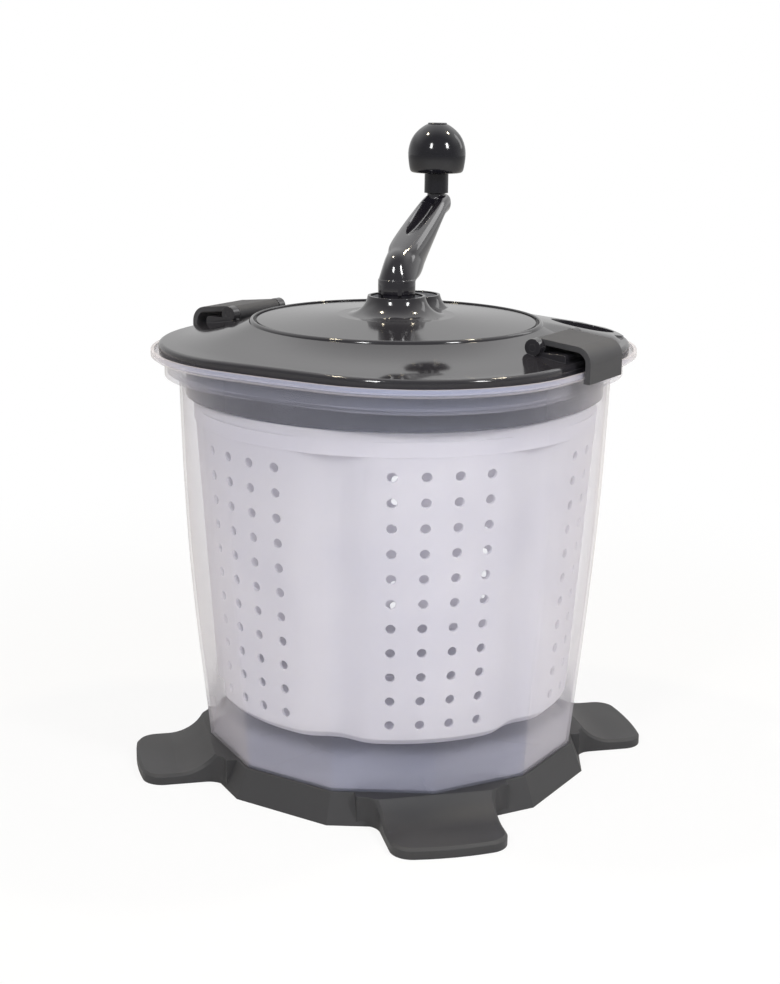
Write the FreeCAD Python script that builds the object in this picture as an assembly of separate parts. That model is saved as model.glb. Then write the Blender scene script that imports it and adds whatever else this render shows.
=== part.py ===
import FreeCAD
import Part
import math
import os

# Hand-cranked compact washing machine, in millimetres.
# Origin: middle of the footprint on the floor. +Z is up, the front foot tab points along -Y.
# A bearing is measured in degrees from the front (-Y) towards the right (+X).

V = FreeCAD.Vector
UP = V(0, 0, 1)
ORIGIN = V(0, 0, 0)
SIDES = 12
SIDE_ANGLE = 360.0 / SIDES
CORNERS = 4
QUARTER = 360.0 / CORNERS

# Fits between pieces
running_gap = 0.05
press_gap = 0.02
seat_gap = 0.3
loose_gap = 0.6

# Foot
base_height = 22.0
base_foot_radius = 154.0
base_top_radius = 145.0
base_wall = 3.5
base_recess = 2.0
base_rib = 2.5
base_rib_ring_radius = 70.0
tab_reach = 200.0
tab_width = 84.0
tab_thickness = 8.0
tab_corner = 16.0
tab_flare = 14.0
tab_sweep_start = 172.0
tab_edge_bevel = 2.0

# Tub
tub_foot_radius = 142.4
tub_wall = 2.0
tub_floor = 3.0
tub_wall_top = 305.0
wall_corner_radius = 162.2
wall_flat_radius = 157.0
rim_corner_radius = 182.3
rim_flat_radius = 167.7
shoulder_inset = 9.9
flange_bottom = 316.6
flange_thickness = 2.4
flange_undercut = 2.6
lip_top = 324.0
lip_wall = 2.4
ledge_thickness = 2.2
pivot_boss_radius = 15.0
pivot_boss_top = 44.0
pivot_rib_reach = 60.0
pivot_rib_count = 6

# Basket bearing
pin_radius = 5.0
pin_sunk = 18.0
pin_exposed = 16.0
pin_bevel = 1.25
pin_end_gap = 1.0
bush_wall = 4.0
bush_flange = 2.0

# Basket
panel_count = 6
panel_top_radius = 148.0
top_row_height = 255.9
panel_taper = 0.0698
panel_edge_round = 10.0
valley_depth = 7.0
basket_bottom = 58.0
basket_edge = 4.0
basket_wall = 2.0
basket_floor = 2.5
basket_top = 282.0
basket_rim_radius = 151.0
basket_rim_height = 12.5
basket_rim_plate = 2.5
basket_rim_wall = 4.0
hole_diameter = 7.0
hole_sides = 6
hole_columns = 4
hole_rows = 11
hole_column_angle = 9.0
hole_row_pitch = 18.34
hub_wall = 4.5
hub_cap = 3.0
drain_diameter = 9.0
drain_ring_radii = (50.0, 92.0)

# Basket drive
lug_count = 3
lug_width = 26.0
lug_inner_radius = 127.0
lug_outer_radius = 136.0
lug_depth = 6.0
lug_rib = 3.0
lug_rib_depth = 22.0
plate_radius = 136.6
plate_gap = 0.4
plate_thickness = 2.5
plate_rim_height = 4.0
plate_rim_wall = 3.0
plate_hub_radius = 16.0
window_inner_radius = 76.0
window_outer_radius = 112.0
window_half_angle = 11.0

# Lid
lid_edge_inset = 5.9
lid_shell = 2.5
lid_edge_height = 327.0
lid_edge_round = 2.6
lid_middle_radius = 136.0
lid_middle_height = 331.5
disc_radius = 104.0
disc_groove = 2.4
disc_edge_height = 341.0
disc_crown_height = 345.0
disc_flat_radius = 44.0
disc_seat_width = 5.0
skirt_bottom = 288.0
skirt_gap = 3.2
skirt_wall = 2.0
well_floor_top = 320.0
well_floor = 2.5
well_wall = 2.5

# Fill opening in the lid's right-hand corner
fill_distance = 146.5
fill_half_length = 24.5
fill_half_width = 22.0
fill_rim = 3.5
fill_flare = 7.0
fill_edge_height = 326.5
fill_throat_gap = 1.0

# Crank sockets
collar_top = 359.0
spin_collar_drop = 5.0
collar_bore = 19.5
collar_wall = 2.0
collar_flare_radius = 38.6
collar_sag = 0.3
socket_across_flats = 16.0
socket_depth = 13.0
socket_side_gap = 0.3
stub_end_gap = 1.0
socket_head_gap = 0.9
socket_head_drop = 1.0
shaft_radius = 8.0
seat_across_flats = 12.0
shaft_bush_wall = 3.0
shaft_bush_flange = 2.0
drive_bush_length = 20.0
spin_bush_length = 13.0
bush_boss_wall = 4.0
ring_thickness = 2.0
ring_groove = 1.0
ring_wall = 3.0

# Gears
gear_module = 1.5
wash_teeth = 18
spin_teeth = 48
gear_width = 10.0
gear_backlash = 0.5
gear_root_share = 1.25
pressure_angle = 20.0
spin_bearing = 153.0

# Screws
screw_count = 4
screw_circle_radius = 93.5
screw_shank = 2.0
screw_head = 4.0
screw_head_height = 2.5
screw_boss_wall = 3.0
plate_screw_shank = 2.5
plate_screw_head = 7.0
plate_screw_head_height = 3.0

# Clips
clip_bearings = (45.0, 225.0)
clip_axis_distance = 132.0
clip_axis_height = 337.0
clip_barrel_radius = 5.8
clip_width = 51.0
clip_thickness = 4.0
clip_face_distance = 173.0
clip_bottom = 314.0
clip_bend = 12.0
clip_slope_drop = 3.2
clip_nub = 0.9
clip_nub_height = 4.0
clip_pin_radius = 2.5
lug_ear_length = 7.5
lug_ear_radius = 6.0
lug_pad_end = 156.0
lug_pad_height = 333.4
lug_pad_half_width = 30.0
lug_pad_round = 2.5

# Crank
crank_bearing = 146.5
crank_throw = 85.0
crank_hub_radius = 14.0
crank_hub_height = 13.0
ogive_height = 22.0
ogive_middle_radius = 11.2
ogive_tip_radius = 4.2
arm_end_top = 427.0
arm_end_depth = 13.0
arm_end_half_width = 7.5
arm_root_share = 0.95
# Sections of the arm: share of the throw, of the rise below and above, half widths low, half-way, on top
arm_stations = ((0.42, 0.36, 0.57, 9.8, 10.6, 7.4),
                (0.76, 0.82, 0.87, 8.0, 8.6, 6.6),
                (1.0, 1.0, 1.0, 6.8, 7.2, 6.6))
arm_dish_radius = 9.0
arm_dish_depth = 1.2
arm_dish_start = 0.36
hub_notch = 2.5
hub_notch_depth = 1.5
hub_notch_count = 6
sleeve_radius = 9.3
sleeve_length = 17.0
neck_radius = 7.0
neck_length = 2.0
knob_radius = 22.5
knob_base_radius = 21.0
knob_base_bevel = 2.0
knob_side_crown = 0.6
knob_height = 38.0
knob_cap_radius = 7.4
knob_cap_thickness = 4.0
knob_cap_proud = 0.8
knob_cap_bevel = 0.5
spindle_radius = 4.0
spindle_sunk = 9.0
spindle_free_end = 12.0
knob_screw_head = 6.0
knob_screw_head_height = 3.5


def polar(radius, bearing, z=0.0):
    """Point at a distance from the axis, on a bearing."""
    angle = math.radians(bearing)
    return V(radius * math.sin(angle), -radius * math.cos(angle), z)


def turned(shape, bearing):
    """Copy of a shape modelled along +X, turned to its bearing."""
    copy = shape.copy()
    copy.rotate(ORIGIN, UP, bearing - 90.0)
    return copy


def pattern(shape, count, first=0.0):
    """Copies of a shape modelled along +X, spread evenly round the axis."""
    return [turned(shape, first + 360.0 / count * k) for k in range(count)]


def rod(radius, bottom, top, x=0.0, y=0.0):
    """Upright cylinder between two heights."""
    return Part.makeCylinder(radius, top - bottom, V(x, y, bottom))


def tube(outer, inner, bottom, top, x=0.0, y=0.0):
    """Upright hollow cylinder between two heights."""
    return rod(outer, bottom, top, x, y).cut(rod(inner, bottom, top, x, y))


def block(low, high):
    """Box between two corners."""
    return Part.makeBox(high[0] - low[0], high[1] - low[1], high[2] - low[2], V(*low))


def outline(start, steps, place):
    """Closed wire; a step is a point, or a middle and an end point of an arc."""
    edges = []
    here = start
    for step in list(steps) + [start]:
        if isinstance(step[0], tuple):
            middle, end = step
            edges.append(Part.Arc(place(*here), place(*middle), place(*end)).toShape())
        else:
            end = step
            if math.dist(here, end) > 1e-6:
                edges.append(Part.LineSegment(place(*here), place(*end)).toShape())
        here = end
    return Part.Wire(edges)


def flat_at(z):
    """Placing function for an outline in the plan at a height."""
    return lambda x, y: V(x, y, z)


def upright_at(y):
    """Placing function for an outline in the X-Z plane."""
    return lambda x, z: V(x, y, z)


def spun(start, steps):
    """Solid of revolution about Z from a profile of (radius, height) points."""
    return Part.Face(outline(start, steps, upright_at(0.0))).revolve(ORIGIN, UP, 360.0)


def across(start, steps, half_width):
    """Profile in the X-Z plane, extruded evenly to both sides."""
    return Part.Face(outline(start, steps, upright_at(-half_width))).extrude(V(0, 2 * half_width, 0))


def hexagon(across_flats, bottom, top, x=0.0, y=0.0, first=0.0):
    """Upright hexagonal prism with a corner on the first bearing."""
    radius = across_flats / math.sqrt(3.0)
    corners = [V(x, y, bottom) + polar(radius, first + 60.0 * k) for k in range(6)]
    return Part.Face(Part.makePolygon(corners + corners[:1])).extrude(V(0, 0, top - bottom))


def twelve_sided(radius, z):
    """Regular twelve-sided wire with a corner on the front."""
    corners = [polar(radius, SIDE_ANGLE * k, z) for k in range(SIDES)]
    return Part.makePolygon(corners + corners[:1])


def arc_centres(corner, flat):
    """Rounded square of eight tangent arcs: centre distances of its corner and flat arcs.

    The arcs meet on a bearing of one side angle from each corner.
    """
    drop = flat - corner
    low = -2.0 * drop / (2.0 - math.sqrt(2.0)) + 1e-3
    high = corner
    half = math.sqrt(0.5)
    for _ in range(60):
        near = (low + high) / 2.0
        far = (-drop * drop - 2.0 * drop * near) / ((2.0 - math.sqrt(2.0)) * near + 2.0 * drop)
        run, rise = near + far * half, far * half
        reach = (corner - near) / math.hypot(run, rise)
        meeting = math.degrees(math.atan2(rise * reach, near + run * reach))
        if meeting > SIDE_ANGLE:
            low = near
        else:
            high = near
    return corner, flat, near, far


RIM = arc_centres(rim_corner_radius, rim_flat_radius)
WALL = arc_centres(wall_corner_radius, wall_flat_radius)


def rounded_square(family, inset, z):
    """Wire of twelve arcs, parallel to its family's outline, with a corner on the front."""
    corner, flat, near, far = family
    half = math.sqrt(0.5)
    run, rise = near + far * half, far * half
    lean = math.degrees(math.atan2(rise, run))
    edges = []
    for k in range(CORNERS):
        corner_bearing = QUARTER * k
        corner_centre = polar(near, corner_bearing, z)
        radius = corner - near - inset

        def on_corner(angle):
            return corner_centre + polar(radius, corner_bearing + angle)

        middle_bearing = corner_bearing + QUARTER / 2.0
        next_centre = polar(near, corner_bearing + QUARTER, z)
        start = on_corner(0.0)
        left = on_corner(lean)
        right = next_centre + polar(radius, corner_bearing + QUARTER - lean)
        end = next_centre + polar(radius, corner_bearing + QUARTER)
        early = next_centre + polar(radius, corner_bearing + QUARTER - lean / 2.0)
        edges.append(Part.Arc(start, on_corner(lean / 2.0), left).toShape())
        edges.append(Part.Arc(left, polar(flat - inset, middle_bearing, z), right).toShape())
        edges.append(Part.Arc(right, early, end).toShape())
    return Part.Wire(edges)


def square_prism(family, inset, bottom, top):
    """Upright solid with a rounded-square plan."""
    return Part.Face(rounded_square(family, inset, bottom)).extrude(V(0, 0, top - bottom))


def square_ring(family, inset, wall, bottom, top):
    """Upright wall with a rounded-square plan."""
    return square_prism(family, inset, bottom, top).cut(square_prism(family, inset + wall, bottom, top))


# Heights and places that follow from the driving dimensions
tub_bottom = base_height - base_recess
panel_half_angle = hole_columns * hole_column_angle / 2.0
tub_floor_top = tub_bottom + tub_floor
flange_top = flange_bottom + flange_thickness
bush_bore = pin_radius + running_gap
bush_radius = bush_bore + bush_wall
pin_top = pivot_boss_top + pin_exposed
bush_top = pin_top + pin_end_gap
hub_radius = bush_radius + hub_wall
shaft_bush_bore = shaft_radius + running_gap
shaft_bush_radius = shaft_bush_bore + shaft_bush_wall
bush_flange_radius = shaft_bush_radius + shaft_bush_wall
bush_boss_radius = shaft_bush_radius + bush_boss_wall
gear_bottom = well_floor_top + shaft_bush_flange + seat_gap
gear_top = gear_bottom + gear_width
gear_spacing = gear_module * (wash_teeth + spin_teeth) / 2.0
spin_centre = polar(gear_spacing, spin_bearing)
spin_collar_top = collar_top - spin_collar_drop
socket_head_radius = collar_bore - socket_head_gap
drive_head_top = collar_top - socket_head_drop
spin_head_top = spin_collar_top - socket_head_drop
drive_bush_bottom = well_floor_top - drive_bush_length
spin_bush_bottom = well_floor_top - spin_bush_length
plate_bottom = basket_top + plate_gap
disc_rabbet_radius = disc_radius + disc_groove
disc_bottom = disc_edge_height - lid_shell
well_radius = disc_radius - disc_seat_width
clip_room_half = clip_width / 2.0 + loose_gap
ear_end = clip_room_half + lug_ear_length
spindle_top = arm_end_top + sleeve_length + knob_height - spindle_free_end
knob_bottom = arm_end_top + sleeve_length + seat_gap
knob_top = knob_bottom + knob_height
knob_cap_edge = knob_top - knob_cap_proud
knob_belly = knob_cap_edge - math.sqrt(knob_radius ** 2 - knob_cap_radius ** 2)


def make_base():
    """Foot: hollow twelve-sided skirt with four tabs, ribs below and a recess for the tub."""
    skirt = Part.makeLoft([twelve_sided(base_foot_radius, 0.0), twelve_sided(base_top_radius, base_height)],
                          True, True)
    plate_underside = tub_bottom - base_wall
    slope = (base_foot_radius - base_top_radius) / base_height
    hollow_top = base_foot_radius - base_wall - slope * plate_underside
    hollow = Part.makeLoft([twelve_sided(base_foot_radius - base_wall, 0.0),
                            twelve_sided(hollow_top, plate_underside)], True, True)
    ribs = pattern(block((base_rib_ring_radius, -base_rib / 2, 0.0),
                         (base_foot_radius, base_rib / 2, plate_underside)), SIDES)
    ring = tube(base_rib_ring_radius + base_rib, base_rib_ring_radius, 0.0, plate_underside)
    hollow = hollow.cut(ribs + [ring])
    recess = Part.makeLoft([twelve_sided(tub_foot_radius + loose_gap, tub_bottom),
                            twelve_sided(tub_foot_radius + loose_gap, base_height)], True, True)
    tabs = pattern(make_tab(), CORNERS)
    pockets = pattern(make_tab_pocket(), CORNERS)
    return skirt.fuse(tabs).cut([hollow, recess] + pockets).removeSplitter()


def tab_plan(inset, root):
    """Plan of a foot tab along +X: straight sides, rounded end on a circle round the axis."""
    half = tab_width / 2.0 - inset
    reach = tab_reach - inset
    corner = tab_corner - inset
    side = half - corner
    centre = math.sqrt((reach - corner) ** 2 - side ** 2)
    lean = math.atan2(side, centre)
    mid = (math.pi / 2.0 + lean) / 2.0
    end_x, end_y = reach * math.cos(lean), reach * math.sin(lean)
    bend = (centre + corner * math.cos(mid), side + corner * math.sin(mid))
    steps = [(centre, -half), ((bend[0], -bend[1]), (end_x, -end_y)), ((reach, 0.0), (end_x, end_y)),
             (bend, (centre, half)), (root, half)]
    return (root, -half), steps


def make_tab():
    """Foot tab with a top that sweeps up into the skirt and flared roots."""
    root = base_rib_ring_radius
    start, steps = tab_plan(0.0, root)
    plan = Part.Face(outline(start, steps, flat_at(0.0))).extrude(V(0, 0, base_height))
    flare_start = base_top_radius * math.cos(math.radians(SIDE_ANGLE / 2)) - base_recess
    for side in (-1.0, 1.0):
        edge = side * tab_width / 2.0
        outer = edge + side * tab_flare
        dip = tab_flare * math.sqrt(0.5)
        flare = outline((root, edge), [(root, outer), (flare_start, outer),
                                       ((flare_start + tab_flare - dip, outer - side * dip),
                                        (flare_start + tab_flare, edge))], flat_at(0.0))
        plan = plan.fuse(Part.Face(flare).extrude(V(0, 0, base_height)))
    run = tab_sweep_start - base_top_radius
    rise = base_height - tab_thickness
    bend = (run * run + rise * rise) / (2.0 * rise)
    turn = math.asin(run / bend) / 2.0
    sweep_middle = (tab_sweep_start - bend * math.sin(turn), tab_thickness + bend * (1.0 - math.cos(turn)))
    side_view = across((root, 0.0), [(tab_reach + 1.0, 0.0), (tab_reach + 1.0, tab_thickness),
                                     (tab_sweep_start, tab_thickness),
                                     (sweep_middle, (base_top_radius, base_height)), (root, base_height)],
                       tab_width)
    tab = plan.removeSplitter().common(side_view)
    rims = [edge for edge in tab.Edges
            if edge.BoundBox.ZMin > tab_thickness - 0.01
            and edge.BoundBox.ZMax < base_height - 0.01
            and edge.BoundBox.XMin > tab_sweep_start - 0.01
            and edge.BoundBox.XLength + edge.BoundBox.YLength > 1.0
            and not (edge.BoundBox.XLength < 0.01 and edge.BoundBox.YLength > tab_width / 2.0)]
    return tab.makeChamfer(tab_edge_bevel, rims)


def make_tab_pocket():
    """Hollow under a foot tab, parted by a rib along its middle."""
    start, steps = tab_plan(base_wall, base_foot_radius + base_wall)
    pocket = Part.Face(outline(start, steps, flat_at(0.0))).extrude(V(0, 0, tab_thickness - base_wall))
    rib = block((base_foot_radius, -base_rib / 2, 0.0), (tab_reach, base_rib / 2, tab_thickness))
    return pocket.cut(rib)


def make_tub():
    """Tub: twelve flats at the bottom that run out into a rounded-square wall and a lipped flange."""
    outer = Part.makeLoft([twelve_sided(tub_foot_radius, tub_bottom),
                           rounded_square(WALL, 0.0, tub_wall_top)], True, True)
    inner = Part.makeLoft([twelve_sided(tub_foot_radius - tub_wall, tub_floor_top),
                           rounded_square(WALL, tub_wall, tub_wall_top)], True, True)
    ledge_bottom = tub_wall_top - ledge_thickness
    shoulder = square_prism(RIM, shoulder_inset, ledge_bottom, flange_bottom)
    skirt_of_flange = Part.makeLoft([rounded_square(RIM, flange_undercut, flange_bottom),
                                     rounded_square(RIM, 0.0, flange_top)], True, True)
    lip = square_prism(RIM, 0.0, flange_top, lip_top)
    lip_hollow = square_prism(RIM, lip_wall, flange_top, lip_top)
    throat = square_prism(RIM, shoulder_inset + tub_wall, tub_wall_top, flange_top)
    body = outer.fuse([shoulder, skirt_of_flange, lip]).cut([inner, lip_hollow, throat])
    boss = rod(pivot_boss_radius, tub_bottom, pivot_boss_top)
    rib_top = pivot_boss_top - tub_floor
    rib = across((0.0, tub_bottom), [(pivot_rib_reach, tub_bottom), (pivot_rib_reach, tub_floor_top),
                                     (pivot_boss_radius, rib_top), (0.0, rib_top)], tub_wall / 2.0)
    ribs = pattern(rib, pivot_rib_count)
    socket = rod(pin_radius + press_gap, pivot_boss_top - pin_sunk, pivot_boss_top)
    return body.fuse([boss] + ribs).cut(socket).removeSplitter()


def make_pivot_pin():
    """Steel pin with a bevelled tip."""
    return spun((0.0, pivot_boss_top - pin_sunk),
                [(pin_radius, pivot_boss_top - pin_sunk), (pin_radius, pin_top - pin_bevel),
                 (pin_radius - pin_bevel, pin_top), (0.0, pin_top)])


def panel_radius(z):
    """Outer radius of the basket's bulged panels at a height."""
    return panel_top_radius + panel_taper * (z - top_row_height)


def lobed_wire(inset, z, radius):
    """Bulged panels, one flat strip for each column of holes, joined by shallow round valleys."""
    step = 360.0 / panel_count
    gap = math.radians(step / 2.0 - panel_half_angle)
    valley = radius - valley_depth
    centre = radius - panel_edge_round
    along = centre * math.cos(gap)
    hollow = (panel_edge_round ** 2 - valley ** 2 - centre ** 2 + 2.0 * valley * along) / (
        2.0 * (valley - along - panel_edge_round))
    far = valley + hollow
    swing = math.degrees(math.atan2(centre * math.sin(gap), far - along))
    edge_round = panel_edge_round - inset
    strips = [(share - hole_columns / 2.0) * hole_column_angle for share in range(hole_columns + 1)]
    edges = []
    for k in range(panel_count):
        middle = step * k
        edge = middle + panel_half_angle
        valley_bearing = middle + step / 2.0
        next_edge = middle + step - panel_half_angle
        away = valley_bearing + 180.0
        panel = [polar(radius - inset, middle + turn, z) for turn in strips]
        lean = valley_bearing - edge + swing
        leave = [polar(centre, edge, z) + polar(edge_round, edge + part * lean) for part in (0.5, 1.0)]
        join = [polar(centre, next_edge, z) + polar(edge_round, next_edge - part * lean)
                for part in (1.0, 0.5)]
        dip = polar(far, valley_bearing, z) + polar(hollow + inset, away)
        after = polar(radius - inset, next_edge, z)
        for here, there in zip(panel, panel[1:]):
            edges.append(Part.LineSegment(here, there).toShape())
        edges.append(Part.Arc(panel[-1], leave[0], leave[1]).toShape())
        edges.append(Part.Arc(leave[1], dip, join[0]).toShape())
        edges.append(Part.Arc(join[0], join[1], after).toShape())
    return Part.Wire(edges)


def radial_hole(diameter, sides, bearing, z, start, end):
    """Straight-sided hole tool that points away from the axis."""
    radius = diameter / 2.0 / math.cos(math.pi / sides)
    corners = []
    for k in range(sides):
        angle = 2.0 * math.pi * (k + 0.5) / sides
        corners.append(V(start, radius * math.cos(angle), z + radius * math.sin(angle)))
    prism = Part.Face(Part.makePolygon(corners + corners[:1])).extrude(V(end - start, 0, 0))
    return turned(prism, bearing)


def make_basket():
    """Basket: lobed shell with perforated panels, rim band, hub and drive ribs."""
    wall_top = basket_top - basket_rim_plate
    floor_top = basket_bottom + basket_floor
    edge_top = basket_bottom + basket_edge
    outer = Part.makeLoft([lobed_wire(basket_edge, basket_bottom, panel_radius(basket_bottom)),
                           lobed_wire(0.0, edge_top, panel_radius(edge_top)),
                           lobed_wire(0.0, basket_top, panel_radius(basket_top))], True, True)
    inner = Part.makeLoft([lobed_wire(basket_wall, floor_top, panel_radius(floor_top)),
                           lobed_wire(basket_wall, basket_top, panel_radius(basket_top))], True, True)
    rim = rod(basket_rim_radius, basket_top - basket_rim_height, basket_top)
    rim_hollow = rod(basket_rim_radius - basket_rim_wall, basket_top - basket_rim_height, wall_top)
    shell = outer.fuse(rim.cut(rim_hollow))
    hub = rod(hub_radius, pivot_boss_top + bush_flange, bush_top + hub_cap)
    shell = shell.cut(inner).fuse([hub] + make_drive_ribs())
    bore = rod(bush_radius + press_gap, pivot_boss_top + bush_flange, bush_top)
    holes = [bore]
    for panel in range(panel_count):
        for column in range(hole_columns):
            offset = (column - (hole_columns - 1) / 2.0) * hole_column_angle
            for row in range(hole_rows):
                z = top_row_height - row * hole_row_pitch
                holes.append(radial_hole(hole_diameter, hole_sides, 360.0 / panel_count * panel + offset, z,
                                         panel_radius(z) - 4.0 * basket_wall, panel_radius(z) + basket_wall))
    for ring, radius in enumerate(drain_ring_radii):
        for k in range(panel_count):
            place = polar(radius, 360.0 / panel_count * (k + ring / 2.0))
            holes.append(hexagon(drain_diameter, basket_bottom, floor_top, place.x, place.y))
    return shell.cut(holes).removeSplitter()


def make_drive_ribs():
    """Pairs of upright ribs inside the basket's top that the drive lugs push on."""
    half = lug_width / 2.0 + loose_gap
    bottom = basket_top - lug_rib_depth
    ribs = []
    for k in range(lug_count):
        for side in (-1.0, 1.0):
            near = side * half
            far = side * (half + lug_rib)
            reach = panel_radius(bottom) - basket_wall / 2.0
            rib = block((lug_inner_radius + lug_rib, min(near, far), bottom),
                        (math.sqrt(reach ** 2 - far ** 2), max(near, far), basket_top))
            ribs.append(turned(rib, 360.0 / lug_count * k))
    return ribs


def make_basket_bush():
    """Flanged bush that runs on the pivot pin."""
    flange = tube(hub_radius, bush_bore, pivot_boss_top, pivot_boss_top + bush_flange)
    return flange.fuse(tube(bush_radius, bush_bore, pivot_boss_top, bush_top)).removeSplitter()


def dome_profile(top_offset, bottom):
    """The lid's crown, a hollow curve from the disc down to the edge, lowered by an offset."""
    edge_radius = rim_corner_radius
    top = disc_edge_height - top_offset
    curve = ((lid_middle_radius, lid_middle_height - top_offset), (disc_rabbet_radius, top))
    return spun((0.0, bottom), [(edge_radius, bottom), (edge_radius, lid_edge_height - top_offset), curve,
                                (0.0, top)])


def make_crown():
    """The lid's outer form: the cone within a rounded-square edge that is softened on top."""
    crown = dome_profile(0.0, flange_top).common(
        square_prism(RIM, lid_edge_inset, flange_top, disc_edge_height))
    edges = [edge for edge in crown.Edges
             if edge.BoundBox.ZMin > lip_top and edge.BoundBox.ZMax < disc_edge_height - lid_shell]
    return crown.makeFillet(lid_edge_round, edges)


def screw_pattern(radius, bottom, top):
    """Cylinders on the circle of the disc's screws."""
    return pattern(rod(radius, bottom, top, screw_circle_radius), screw_count, 180.0 / screw_count)


def make_lid():
    """Lid: shell with a vertical edge, splash skirt, gear well, fill spout and clip lugs."""
    crown = make_crown().fuse(make_fill_rim())
    lugs = [turned(make_clip_lug(), bearing) for bearing in clip_bearings]
    crown = crown.fuse(lugs)
    hollow = dome_profile(lid_shell, flange_top).common(
        square_prism(RIM, lid_edge_inset + lid_shell, flange_top, disc_crown_height))
    skirt = square_ring(WALL, tub_wall + skirt_gap, skirt_wall, skirt_bottom, disc_edge_height).common(
        dome_profile(lid_shell / 2.0, skirt_bottom))
    well = rod(disc_rabbet_radius + well_wall, well_floor_top - well_floor, disc_edge_height - lid_shell)
    x, y = spin_centre.x, spin_centre.y
    bosses = [rod(bush_boss_radius, drive_bush_bottom, well_floor_top),
              rod(bush_boss_radius, spin_bush_bottom, well_floor_top, x, y)]
    well_hollow = rod(well_radius, well_floor_top, disc_crown_height)
    rabbet = rod(disc_rabbet_radius, disc_bottom, disc_crown_height)
    bores = [rod(shaft_bush_radius + press_gap, drive_bush_bottom, well_floor_top),
             rod(shaft_bush_radius + press_gap, spin_bush_bottom, well_floor_top, x, y)]
    lid = crown.cut(hollow).fuse([skirt, well, make_fill_throat()] + bosses)
    screw_bosses = screw_pattern(screw_shank + screw_boss_wall, well_floor_top - well_floor, disc_bottom)
    screw_holes = screw_pattern(screw_shank + press_gap, skirt_bottom, disc_bottom)
    barrel_rooms = [turned(make_barrel_room(), bearing) for bearing in clip_bearings]
    lid = lid.cut([well_hollow, rabbet] + bores).fuse(screw_bosses)
    return lid.cut(screw_holes + barrel_rooms + [make_fill_opening()]).removeSplitter()


def oval(half_length, half_width, z):
    """Wire of an ellipse round the fill opening, its long axis pointing outwards."""
    ellipse = Part.Ellipse(V(fill_distance, 0, z), half_length, half_width)
    return Part.Wire([ellipse.toShape()])


def make_fill_rim():
    """Low rim round the fill opening that slopes down with the crown, kept within the lid's edge."""
    foot = fill_rim + fill_flare
    wires = [oval(fill_half_length + foot, fill_half_width + foot, lid_edge_height),
             oval(fill_half_length + fill_rim, fill_half_width + fill_rim, disc_edge_height)]
    slope = spun((0.0, flange_top), [(rim_corner_radius, flange_top), (rim_corner_radius, fill_edge_height),
                                     (disc_rabbet_radius, disc_edge_height), (0.0, disc_edge_height)])
    rim = Part.makeLoft(wires, True, True).common(slope)
    return rim.common(square_prism(RIM, lid_edge_inset + lid_edge_round, lid_edge_height, disc_edge_height))


def make_fill_throat():
    """Short oval wall that hangs from the crown round the fill opening."""
    bottom = flange_top + fill_throat_gap
    wall = Part.Face(oval(fill_half_length + fill_rim, fill_half_width + fill_rim, bottom)).extrude(
        V(0, 0, disc_edge_height - bottom))
    return wall.common(dome_profile(lid_shell / 2.0, flange_top))


def make_fill_opening():
    """Way through the crown and the skirt under it."""
    return Part.Face(oval(fill_half_length, fill_half_width, skirt_bottom)).extrude(
        V(0, 0, disc_crown_height - skirt_bottom))


def on_hinge(radius, half_length):
    """Cylinder on a clip's hinge axis, for a clip along +X."""
    start = V(clip_axis_distance, -half_length, clip_axis_height)
    return Part.makeCylinder(radius, 2 * half_length, start, V(0, 1, 0))


def make_clip_lug():
    """Pad and two ears that carry a clip's hinge pin, along +X."""
    axis = clip_axis_distance
    dip = lug_pad_round * math.sqrt(0.5)
    bend_x, bend_z = lug_pad_end - lug_pad_round, lug_pad_height - lug_pad_round
    pad = across((axis - lug_ear_radius, clip_axis_height - lug_ear_radius - lid_shell),
                 [(lug_pad_end, lid_edge_height), (lug_pad_end, bend_z),
                  ((bend_x + dip, bend_z + dip), (bend_x, lug_pad_height)),
                  (axis - lug_ear_radius, lug_pad_height)], lug_pad_half_width)
    pin_hole = on_hinge(clip_pin_radius + press_gap, ear_end)
    ears = on_hinge(lug_ear_radius, ear_end)
    return pad.fuse(ears).cut([make_barrel_room(), pin_hole]).removeSplitter()


def make_barrel_room():
    """Round channel in the lid that a clip's barrel turns in, along +X."""
    return on_hinge(clip_barrel_radius + loose_gap, clip_room_half)


def make_clip():
    """Clip along +X: barrel on the pin, plate over the lid's edge, hook face outside the rim."""
    axis, top = clip_axis_distance, clip_axis_height + clip_barrel_radius
    face = clip_face_distance
    bend_top = top - clip_slope_drop
    inner_bend = clip_bend - clip_thickness
    dip = math.sqrt(0.5)
    centre_x, centre_z = face - clip_bend, bend_top - clip_bend
    inner_face = face - clip_thickness
    plate = across((axis, top),
                   [(centre_x, bend_top),
                    ((centre_x + clip_bend * dip, centre_z + clip_bend * dip), (face, centre_z)),
                    (face, clip_bottom), (inner_face - clip_nub, clip_bottom),
                    (inner_face - clip_nub, clip_bottom + clip_nub_height - clip_nub),
                    (inner_face, clip_bottom + clip_nub_height), (inner_face, centre_z),
                    ((centre_x + inner_bend * dip, centre_z + inner_bend * dip),
                     (centre_x, centre_z + inner_bend)),
                    (axis, top - clip_thickness)], clip_width / 2.0)
    barrel = on_hinge(clip_barrel_radius, clip_width / 2.0)
    bore = on_hinge(clip_pin_radius + running_gap, clip_width / 2.0)
    return plate.fuse(barrel).cut(bore).removeSplitter()


def make_clip_pin():
    """Hinge pin of a clip, flush with the ears."""
    return on_hinge(clip_pin_radius, ear_end)


def flare(top, bottom, inset):
    """Trumpet-shaped collar body: concave from its foot up to its mouth."""
    mouth = collar_bore + collar_wall - inset
    foot = collar_flare_radius - inset
    middle = (mouth + (foot - mouth) * collar_sag, bottom + (top - bottom) * collar_sag)
    return spun((0.0, bottom), [(foot, bottom), (middle, (mouth, top)), (0.0, top)])


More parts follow.
